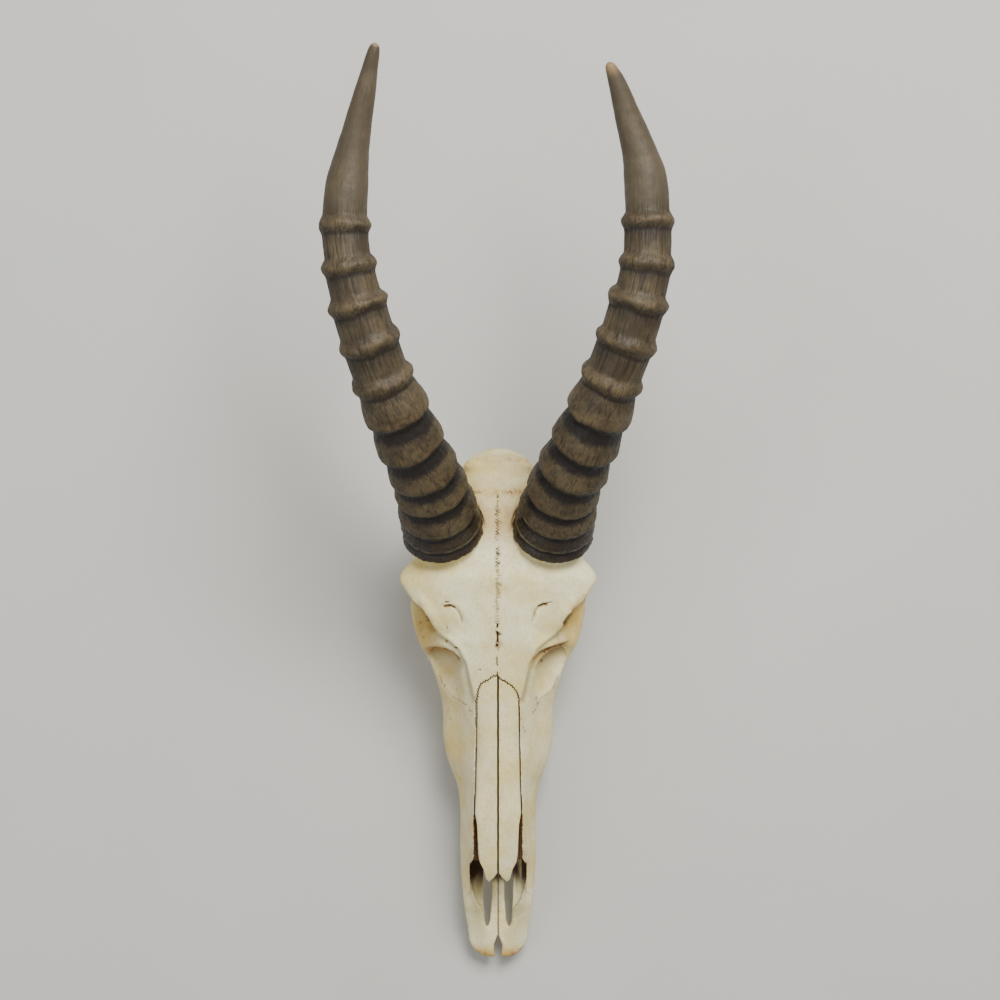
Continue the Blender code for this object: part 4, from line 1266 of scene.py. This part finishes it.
def tooth_outline(premolar, length, width):
    """Worn cheek tooth from above: two lobes on the tongue side, three ribs on the cheek side."""
    a, b = length / 2, width / 2
    if premolar:
        shares = [
            (-1, -0.45), (-0.4, -1), (0.5, -1), (1, -0.4), (1, 0.6), (0.3, 0.86), (0, 1), (-0.3, 0.86),
            (-1, 0.7),
        ]
    else:
        shares = [
            (-1, -0.35), (-0.72, -0.95), (-0.3, -0.98), (0, -0.55), (0.3, -0.98), (0.72, -0.95), (1, -0.35),
            (1, 0.9), (0.5, 0.72), (0.06, 1), (-0.5, 0.72), (-1, 0.95),
        ]
    return [(x * a, y * b) for x, y in shares]


TOOTH_AROUND = 96
WORN_HEIGHT = 0.8  # the worn face lies below this
BASIN_SHARE, RIM_SHARE = 0.83, 0.97  # of the outline, where the basin ends and the rim of enamel does
# Rings of a tooth from its root to the middle of its worn face: share of the outline, height
TOOTH_RINGS = (
    [(0.05, TOOTH_TOP), (0.5, TOOTH_TOP), (0.93, TOOTH_TOP), (0.97, TOOTH_TOP - 0.3)]
    + [(0.985 - 0.02 * math.cos(k * 0.5), TOOTH_TOP - 1 - k * 1.2) for k in range(13)]
    + [(0.985, 1.6), (0.98, 0.8), (0.97, 0.3), (0.95, 0.05), (0.92, 0.0), (0.88, 0.02), (0.84, 0.35)]
    + [(0.80 - 0.045 * k, 0.6) for k in range(17)]
)


def make_tooth(name, side, start, length, width, mat, seed):
    """One tooth: ribbed sides, a raised rim of enamel and two crescent pits on its worn face."""
    place, way = row_place(start + length / 2)
    outward = Vector((way.y, -way.x))
    premolar = "_p" in name
    loop = closed_curve(tooth_outline(premolar, length - GAP, width), TOOTH_AROUND)
    rings, worn = [], []
    for share, height in TOOTH_RINGS:
        ring = []
        for p in loop:
            spot = place + way * (p.x * share) + outward * (p.y * share)
            ring.append((side * spot.x, spot.y, height))
            worn.append((p.x * share, p.y * share))
        rings.append(ring)
    tooth = loft(name, rings)
    across = np.array(worn)
    places = vertex_places(tooth.data)
    shares = np.repeat([share for share, _ in TOOTH_RINGS], TOOTH_AROUND)
    face = places[:, 2] < WORN_HEIGHT
    inner = face & (shares < BASIN_SHARE)
    lobes = [0] if premolar else [-0.27 * length, 0.27 * length]
    ridge, pit = np.zeros(len(places)), np.zeros(len(places))
    for middle in lobes:
        x, y = (across[:, 0] - middle) / (0.17 * length), across[:, 1] / (0.2 * width) + 0.2
        bow = np.hypot(x * 0.9, y + 0.55 * x**2 - 0.4)
        ridge = np.maximum(ridge, bump(np.abs(bow - 0.75), 0.3))
        pit = np.maximum(pit, bump(bow, 0.5))
    places[:, 2] = np.maximum(places[:, 2] + inner * (1.4 * pit - 0.5 * ridge), 0)
    rough = 0.09 * noise(places * (1, 1, 0.25), 0.9, seed) + 0.12 * noise(places * (1, 1, 3), 3, seed + 1)
    out = places - (side * place.x, place.y, 0)
    out[:, 2] = 0
    out /= np.maximum(np.linalg.norm(out, axis=1), TINY)[:, None]
    set_places(tooth.data, places - out * (np.abs(rough) * ~face)[:, None])
    rim = (face & (shares > BASIN_SHARE) & (shares < RIM_SHARE)) | (inner & (ridge > 0.5))
    set_mask(tooth.data, "enamel", np.where(face, rim * 1.0, 0.75))
    set_mask(tooth.data, "pit", np.where(inner, pit, step_up(9, 17, places[:, 2]) * 0.6))
    finish(tooth, mat)
    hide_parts(name[: -len("_crown")])
    return tooth


# ---- horns

HORN_AROUND = 220
HORN_STEP = 1.05  # between rings of vertices along a horn
BEADS = 5  # the last lips of a horn, which stand as beads on a straighter shaft
WAIST, LOW_WAIST = 0.885, 0.862  # how thin the shaft is under a bead and under a lower lip, as a share of it
BEAD_BELOW, BEAD_ABOVE = 6.5, 8  # how far a bead reaches down and up the shaft
SEAT_STRAIGHT = 6
LAST_LIP = len(HORN_LIPS["left"]) - 1
TIP_WORN = {"left": 1.6, "right": 12}  # how far down from its point a horn is worn pale


def ring_radius(s, run, lips, tip):
    """At each place s along a horn, its radius and three masks.

    The masks are how high on a lip the place stands, how deep in the fold beside it, where shadow is painted,
    and how far down the hollow under it, where shade is painted.
    """
    radius, crest, crease_shadow, valley_shade = (np.zeros(s.shape) for _ in range(4))
    top = LAST_LIP
    fine = np.linspace(run[top], run[-1], 200)
    rows = list(zip(run[top:], [tip[0][3] + 0.3] + [row[3] for row in tip]))
    plain = np.interp(s, fine, [spline(rows, v)[0] for v in fine])
    for k in range(1, len(lips) + 1):
        low, start = lips[k - 1][3], run[k - 1]
        past_top = k > top
        bead, on_bead = k > top - BEADS, k - 1 > top - BEADS
        end = run[-1] if past_top else run[k]
        here = (s >= start) & (s <= end)
        climbed = (s - start) / (end - start)
        if on_bead:
            fade = step_up(BEAD_ABOVE, 0.6, s - start)
            # A thin line of painted shadow in the fold at the top of a bead
            line = 0.5 * bump(s - start - BEAD_ABOVE + 1, 0.6)
        else:
            fade = np.clip(1 - (climbed / 0.78) ** 1.6, 0, 1) ** 1.3
            line = 0
        if past_top:
            waist, rise, high = plain, 0, 0
        else:
            waist, high = lips[k][3] * (WAIST if bead else LOW_WAIST), lips[k][3]
            step = min(BEAD_BELOW, 0.42 * (end - start))
            q = np.clip((end - s) / step, 0, 1)
            rise = (1 - q**1.8) ** (2.0 if bead else 1.5)
            # A thin line of painted shadow in the fold under the lip's step, and painted shade down the
            # hollow under the lip
            line = line + bump(s - end + step * 0.95, 0.2 * step + 0.4)
            under = step_up(0.3, 0.72, climbed) * step_up(0.12, 0.5, (end - s) / step)
            valley_shade = np.where(here, under * (0.35 if bead else 1.0), valley_shade)
        ring = waist + (low - waist) * fade
        radius = np.where(here, ring * (1 - rise) + high * rise, radius)
        crest = np.where(here, np.maximum(fade, 0.75 * rise), crest)
        crease_shadow = np.where(here, line, crease_shadow)
    return radius, crest, np.clip(crease_shadow, 0, 1), valley_shade


def make_horn(word, mat, seed):
    """A ringed horn: lips that flare and step in sharply below, fine grooves along it, and a smooth tip."""
    lips, tip = HORN_LIPS[word], HORN_TIP[word]
    run = run_lengths(lips + tip)
    count = int(run[-1] / HORN_STEP)
    places = [run[-1] * k / count for k in range(count + 1)]
    frames = path_frames(lips + tip, places)
    foot, foot_across, foot_up, _ = frames[0]
    axis = foot_across.cross(foot_up)
    centres, across, up = [], [], []
    for s, (centre, a, b, _) in zip(places, frames):
        if s < SEAT_STRAIGHT:
            centre, a, b = foot + axis * s, foot_across, foot_up
        centres.append(centre)
        across.append(a)
        up.append(b)
    centres, across, up = (np.array(v)[:, None, :] for v in (centres, across, up))
    turn = np.linspace(0, 2 * math.pi, HORN_AROUND, endpoint=False)
    s, a = np.meshgrid(np.array(places), turn, indexing="ij")

    def around(radius, height):
        """Places to read noise at, on a shaft of this radius drawn out or squeezed to this height."""
        return np.stack([np.cos(a) * radius, np.sin(a) * radius, height], axis=-1).reshape(-1, 3)

    ball_at = around(9, s * 0.35)
    wander = (1.35 * noise(ball_at, 5.5, seed) + 0.7 * noise(ball_at, 1.7, seed + 1)).reshape(s.shape)
    wander *= step_up(4, 14, s) * (1 - 0.5 * step_up(run[LAST_LIP], run[LAST_LIP] + 10, s))
    radius, crest, crease_shadow, valley_shade = ring_radius(np.clip(s + wander, 0, run[-1]), run, lips, tip)
    blunt = tip[-1][3]
    radius = radius * np.sqrt(1 - 0.96 * np.clip((s - run[-1] + blunt) / blunt, 0, 1) ** 2)
    round_at = around(radius, s * 0.055)
    streak = noise(round_at, 0.95, seed + 2).reshape(s.shape)
    fine = noise(round_at * (1, 1, 2.5), 0.5, seed + 3).reshape(s.shape)
    lump = noise(around(radius, s), 5, seed + 4).reshape(s.shape)
    ringed = 1 - step_up(run[LAST_LIP], run[LAST_LIP] + 22, s)
    grooves = np.minimum(streak, 0.15) * (0.42 * ringed + 0.05) + 0.14 * np.minimum(fine, 0) * ringed
    knobs = 0.3 * lump * crest * ringed + 0.16 * lump
    nick = 0.8 * np.minimum(noise(ball_at, 0.9, seed + 5).reshape(s.shape) + 0.45, 0) * crest * ringed
    foot_rings = 0.28 * np.sin(s * 2.1 + 1.5 * lump) * (1 - step_up(20, 60, s)) * step_up(1, 4, s)
    radius = radius * 0.992 + (grooves + knobs + nick) * np.clip(radius / 8, 0, 1) + foot_rings
    points = centres + across * (np.cos(a) * radius)[..., None] + up * (np.sin(a) * radius)[..., None]
    rows, cols = s.shape
    base = np.arange(rows * cols).reshape(rows, cols)
    right = np.roll(base, -1, axis=1)
    quads = np.stack([base[:-1], right[:-1], right[1:], base[1:]], axis=-1).reshape(-1, 4)
    point = centres[-1] + (centres[-1] - centres[-2]) * 0.3
    verts = np.concatenate([points.reshape(-1, 3), centres[0], point])
    caps = [(rows * cols, int(right[0, j]), int(base[0, j])) for j in range(cols)]
    caps += [(rows * cols + 1, int(base[-1, j]), int(right[-1, j])) for j in range(cols)]
    mesh = bpy.data.meshes.new(f"ringed_horn_{word}")
    mesh.from_pydata((verts * MM).tolist(), [], quads.tolist() + caps)
    horn = bpy.data.objects.new(mesh.name, mesh)
    bpy.context.scene.collection.objects.link(horn)
    worn = step_up(run[-1] - TIP_WORN[word], run[-1] - 1, s)
    # Each mask, with its values at the middles of the foot and of the tip
    for name, grid, caps_at in (
        ("crest", crest, (0, 0)), ("crease_shadow", crease_shadow, (0, 0)), ("streak", 0.5 + 0.5 * streak, (0.5, 0.5)),
        ("root", 1 - step_up(8, 46, s), (1, 0)), ("plain", 1 - ringed, (0, 1)), ("valley_shade", valley_shade, (1, 0)),
        ("worn", worn, (0, 1)),
    ):
        set_mask(mesh, name, np.concatenate([grid.reshape(-1), caps_at]))
    layer = mesh.attributes.new("along", "FLOAT_VECTOR", "POINT")
    grain = np.concatenate([round_at, np.zeros((2, 3))])
    layer.data.foreach_set("vector", grain.astype(np.float32).ravel())
    finish(horn, mat)
    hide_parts(f"horn_{word}")
    return horn


# ---- materials


class Nodes:
    """Short ways to add and join the nodes of one material."""

    def __init__(self, name):
        self.mat = bpy.data.materials.new(name)
        self.mat.use_nodes = True
        self.tree = self.mat.node_tree
        self.shader = self.tree.nodes["Principled BSDF"]

    def add(self, kind, **settings):
        node = self.tree.nodes.new(kind)
        for key, value in settings.items():
            setattr(node, key, value)
        return node

    def join(self, source, target):
        self.tree.links.new(source, target)

    def put(self, socket, value):
        if isinstance(value, bpy.types.NodeSocket):
            self.join(value, socket)
        else:
            socket.default_value = value

    def place(self):
        return self.add("ShaderNodeTexCoord").outputs["Object"]

    def mask(self, name, *ramp):
        """A mask that the mesh keeps, run through a ramp where one is given."""
        value = self.add("ShaderNodeAttribute", attribute_name=name).outputs["Fac"]
        return self.ramp(value, *ramp) if ramp else value

    def vector(self, name):
        return self.add("ShaderNodeAttribute", attribute_name=name).outputs["Vector"]

    def stretched(self, vector, scale):
        node = self.add("ShaderNodeMapping")
        self.join(vector, node.inputs["Vector"])
        node.inputs["Scale"].default_value = scale
        return node.outputs["Vector"]

    def noise(self, vector, scale, detail=3.0, rough=0.5):
        node = self.add("ShaderNodeTexNoise")
        self.join(vector, node.inputs["Vector"])
        node.inputs["Scale"].default_value = scale
        node.inputs["Detail"].default_value = detail
        node.inputs["Roughness"].default_value = rough
        return node.outputs["Fac"]

    def ramp(self, value, low, high, first=0.0, last=1.0):
        node = self.add("ShaderNodeMapRange", clamp=True, interpolation_type="SMOOTHSTEP")
        self.join(value, node.inputs["Value"])
        for name, number in (("From Min", low), ("From Max", high), ("To Min", first), ("To Max", last)):
            node.inputs[name].default_value = number
        return node.outputs["Result"]

    def math(self, how, a, b):
        node = self.add("ShaderNodeMath", operation=how)
        self.put(node.inputs[0], a)
        self.put(node.inputs[1], b)
        return node.outputs[0]

    def part(self, share, value):
        """A value, or what another node gives, times a share."""
        return self.math("MULTIPLY", value, share)

    def mix(self, share, a, b):
        node = self.add("ShaderNodeMix", data_type="RGBA")
        for name, value in (("Factor", share), ("A", a), ("B", b)):
            self.put(node.inputs[name], value)
        return node.outputs["Result"]

    def coats(self, tint, coats):
        """A tint with further colours over it, each by its own share."""
        for share, tone in coats:
            tint = self.mix(share, tint, tone)
        return tint

    def set(self, **values):
        """Plain numbers for the shader's sockets, named with underscores for spaces."""
        for name, value in values.items():
            self.shader.inputs[name.replace("_", " ")].default_value = value

    def bumped(self, height, distance, strength, before=None):
        node = self.add("ShaderNodeBump")
        self.join(height, node.inputs["Height"])
        node.inputs["Distance"].default_value = distance * MM
        node.inputs["Strength"].default_value = strength
        if before is not None:
            self.join(before, node.inputs["Normal"])
        return node.outputs["Normal"]


def colour(red, green, blue):
    """A colour as a screen shows it, from 0 to 255, made linear."""
    return tuple((v / 255) ** 2.2 for v in (red, green, blue)) + (1.0,)


def bone_material(name, base, warm):
    """Dry bone: cream with greener and warmer clouds, tan where stained, brown in its seams, with brown and
    tan painted shade in its hollows.
    """
    n = Nodes(name)
    place = n.place()
    fibre = n.noise(n.stretched(place, (1, 0.22, 1)), 900, 4, 0.6)
    blotch = n.ramp(n.noise(place, 75, 4, 0.6), 0.42, 0.68)
    stained = n.math("MULTIPLY", n.mask("stain"), n.ramp(n.noise(place, 120, 4, 0.62), 0.25, 0.6, 0.55, 1.0))
    speck = n.add("ShaderNodeTexVoronoi")
    n.join(place, speck.inputs["Vector"])
    speck.inputs["Scale"].default_value = 210
    dot = n.ramp(speck.outputs["Distance"], 0.03, 0.09, 1, 0)
    rare = n.ramp(n.noise(place, 160, 2), 0.6, 0.7)
    tint = n.coats(base, (
        (n.ramp(n.noise(place, 26, 3, 0.55), 0.38, 0.66), colour(228, 212, 148)),
        (n.part(0.42, blotch), colour(214, 192, 124)),
        (n.ramp(n.noise(place, 48, 3, 0.6), 0.52, 0.7, 0, 0.4), colour(226, 228, 206)),
        (n.ramp(fibre, 0.35, 0.72, 0, 0.3), colour(188, 170, 112)),
        (n.ramp(n.noise(place, 420, 3, 0.6), 0.5, 0.74, 0, 0.3), colour(176, 156, 104)),
        (stained, warm),
        # Painted shade, tan and then dark brown, where the rays found the sky cut off
        (n.mask("painted_occlusion", 0.2, 0.62, 0, 0.75), colour(196, 160, 108)),
        (n.mask("painted_occlusion", 0.62, 0.95, 0, 0.93), colour(84, 46, 22)),
        (n.part(0.6, n.mask("shade")), colour(140, 126, 84)),
        # Rusty stains, and painted shadow in the same rusty colour under the lips of the hollows before the
        # eyes
        (n.part(0.8, n.mask("rust_and_shadow")), colour(168, 112, 56)),
        # Dark seams, with painted shade in the holes and painted shadow lines under the lips and beside the
        # ridge
        (n.mask("seams_and_shade", 0.1, 0.5, 0, 0.7), colour(122, 98, 58)),
        (n.mask("seams_and_shade", 0.45, 0.92, 0, 0.96), colour(34, 24, 14)),
        # Painted shade, dark red-brown, inside the nose and under the nasal bones
        (n.mask("inner", 0.05, 0.9, 0, 0.96), colour(66, 31, 15)),
        (n.part(0.65, n.math("MULTIPLY", dot, rare)), colour(96, 66, 38)),
    ))
    n.join(tint, n.shader.inputs["Base Color"])
    n.join(n.ramp(n.noise(place, 300, 3), 0.3, 0.7, 0.48, 0.68), n.shader.inputs["Roughness"])
    n.set(Specular_IOR_Level=0.35, Subsurface_Weight=0.06, Subsurface_Radius=(1.0, 0.6, 0.35))
    n.set(Subsurface_Scale=0.0015)
    normal = n.bumped(n.noise(place, 130, 4, 0.6), 0.9, 0.3)
    normal = n.bumped(fibre, 0.22, 0.35, normal)
    pores = n.ramp(n.noise(place, 1500, 2, 0.5), 0.32, 0.44)
    n.join(n.bumped(pores, 0.12, 0.3, normal), n.shader.inputs["Normal"])
    return n.mat


def horn_material(name):
    """Old horn: grey-brown, tan on the lips, near black at the foot, with painted shadow in the creases and
    painted shade in the valleys.
    """
    n = Nodes(name)
    place, along = n.place(), n.vector("along")
    streak = n.noise(along, 1.35, 5, 0.65)
    crest = n.math("MULTIPLY", n.mask("crest"), n.ramp(n.noise(place, 220, 4, 0.6), 0.3, 0.62, 0.35, 1.0))
    edge = n.math("ADD", n.mask("valley_shade"), n.ramp(streak, 0.35, 0.65, -0.12, 0.16))
    tint = n.coats(colour(62, 52, 36), (
        (n.ramp(n.noise(place, 45, 4, 0.6), 0.35, 0.68), colour(89, 77, 55)),
        (n.ramp(streak, 0.42, 0.66, 0, 0.6), colour(48, 39, 27)),
        (n.ramp(crest, 0.45, 1.0, 0, 0.5), colour(98, 82, 55)),
        # Painted shadow in the folds by the lips, and painted shade in the hollows under them, mixed with
        # dark streaks
        (n.mask("crease_shadow", 0.15, 0.9, 0, 0.75), colour(32, 24, 16)),
        (n.ramp(edge, 0.12, 0.75, 0, 0.95), colour(24, 18, 15)),
        (n.mask("streak", 0.1, 0.42, 0.7, 0), colour(38, 31, 24)),
        (n.part(0.5, n.mask("plain")), colour(86, 76, 60)),
        (n.mask("root", 0.1, 1.0, 0, 0.72), colour(34, 28, 26)),
        (n.part(0.9, n.mask("worn")), colour(140, 116, 82)),
    ))
    n.join(tint, n.shader.inputs["Base Color"])
    gloss = n.mask("root", 0.1, 1.0, 0.56, 0.33)
    rough = n.math("ADD", gloss, n.ramp(n.noise(place, 350, 3), 0.3, 0.7, -0.06, 0.1))
    n.join(rough, n.shader.inputs["Roughness"])
    n.set(Specular_IOR_Level=0.45)
    normal = n.bumped(streak, 0.5, 0.45)
    normal = n.bumped(n.noise(along, 4.5, 3, 0.6), 0.2, 0.4, normal)
    n.join(n.bumped(n.noise(place, 420, 3, 0.6), 0.2, 0.3, normal), n.shader.inputs["Normal"])
    return n.mat


def tooth_material(name):
    """Worn teeth: yellowed enamel, brown dentine in its basins and dark stain in the pits and by the gum."""
    n = Nodes(name)
    place = n.place()
    upright = n.stretched(place, (1, 1, 0.2))
    tint = n.coats(colour(150, 116, 70), (
        (n.mask("enamel"), colour(226, 214, 182)),
        (n.ramp(n.noise(upright, 420, 4, 0.6), 0.42, 0.7, 0, 0.5), colour(150, 112, 62)),
        (n.mask("pit", 0.15, 0.8, 0, 0.9), colour(62, 38, 20)),
    ))
    n.join(tint, n.shader.inputs["Base Color"])
    n.join(n.ramp(n.noise(place, 400, 3), 0.3, 0.7, 0.28, 0.46), n.shader.inputs["Roughness"])
    n.join(n.bumped(n.noise(upright, 700, 3, 0.6), 0.2, 0.35), n.shader.inputs["Normal"])
    return n.mat


def floor_material():
    """A plain pale surface with the faintest tooth."""
    n = Nodes("floor")
    place = n.place()
    tint = n.mix(n.noise(place, 6, 3, 0.5), colour(190, 189, 185), colour(199, 198, 194))
    n.join(tint, n.shader.inputs["Base Color"])
    n.set(Roughness=0.85)
    n.join(n.bumped(n.noise(place, 500, 3, 0.6), 0.3, 0.2), n.shader.inputs["Normal"])
    return n.mat


# ---- surroundings

LENS = (1.46, 17, 2315)
FRAME_WIDTH = 730  # what the picture spans at the height of the forehead
FOREHEAD = 115
SENSOR = 36
AIM = (0, 0, 0.05)  # what the lights point at, in metres


def make_floor():
    bm = bmesh.new()
    bmesh.ops.create_grid(bm, x_segments=2, y_segments=2, size=3.0)
    floor = object_from("floor", bm)
    floor.data.materials.append(floor_material())


def area_light(name, place, size, power, tone):
    light = bpy.data.lights.new(name, "AREA")
    light.size = size
    light.energy = power
    light.color = tone
    ob = bpy.data.objects.new(name, light)
    ob.location = place
    ob.rotation_euler = (Vector(AIM) - Vector(place)).to_track_quat("-Z", "Y").to_euler()
    bpy.context.scene.collection.objects.link(ob)


def make_lights():
    world = bpy.data.worlds.new("studio")
    world.use_nodes = True
    sky = world.node_tree.nodes["Background"].inputs
    sky["Color"].default_value = (1.0, 0.99, 0.97, 1)
    sky["Strength"].default_value = 0.42
    bpy.context.scene.world = world
    area_light("key", (0.6, 1.25, 2.1), 1.2, 88, (1.0, 0.99, 0.95))
    area_light("fill", (-1.4, -0.3, 1.7), 1.4, 11, (0.95, 0.98, 1.0))


def make_camera():
    """Straight above the skull, as the photograph looks at it."""
    camera = bpy.data.cameras.new("camera")
    camera.sensor_fit = "HORIZONTAL"
    camera.sensor_width = SENSOR
    camera.lens = SENSOR * (LENS[2] - FOREHEAD) / FRAME_WIDTH
    camera.clip_end = 20
    ob = bpy.data.objects.new("camera", camera)
    ob.location = Vector(LENS) * MM
    bpy.context.scene.collection.objects.link(ob)
    bpy.context.scene.camera = ob


# ---- the object


def make_bones():
    bone = fused_bone()
    cut_all(bone, hollows())
    fuse(bone, BONE_VOXEL, 3)
    shaped(bone)
    tree = cad_tree()
    cream = bone_material("dry_bone", colour(240, 234, 192), colour(206, 171, 92))
    pale = bone_material("nasal_bone", colour(240, 229, 180), colour(208, 172, 98))

    cranium = make_cranium(bone)
    fuse(cranium, BONE_VOXEL, 2)
    thin(cranium, CRANIUM_FACES)
    make_finer(cranium, [line for line, *_ in seam_lines() + HOLES] + SHELVES)
    seamed(cranium)
    dressed(cranium, tree, cream, 1)
    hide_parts("cranium")
    for word, side in SIDES.items():
        nasal = make_nasal(bone, side, word)
        nose_tip = make_premaxilla(bone, side, word)
        for ob, voxel, rounds, mat, seed, node in (
            (nasal, NASAL_VOXEL, 2, pale, 2, "nasal"), (nose_tip, PIECE_VOXEL, 3, cream, 3, "premaxilla"),
        ):
            fuse(ob, voxel, rounds)
            seamed(ob, midlines())
            dressed(ob, tree, mat, seed)
            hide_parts(f"{node}_{word}")
    discard(bone)


def main():
    make_bones()
    mat = tooth_material("tooth")
    for word, side in SIDES.items():
        start = 0.0
        for k, (name, length, width) in enumerate(TEETH):
            make_tooth(f"tooth_{word}_{name}_crown", side, start, length, width, mat, 40 + k)
            start += length
    mat = horn_material("old_horn")
    for k, word in enumerate(SIDES):
        make_horn(word, mat, 60 + 10 * k)
    make_floor()
    make_lights()
    make_camera()


main()
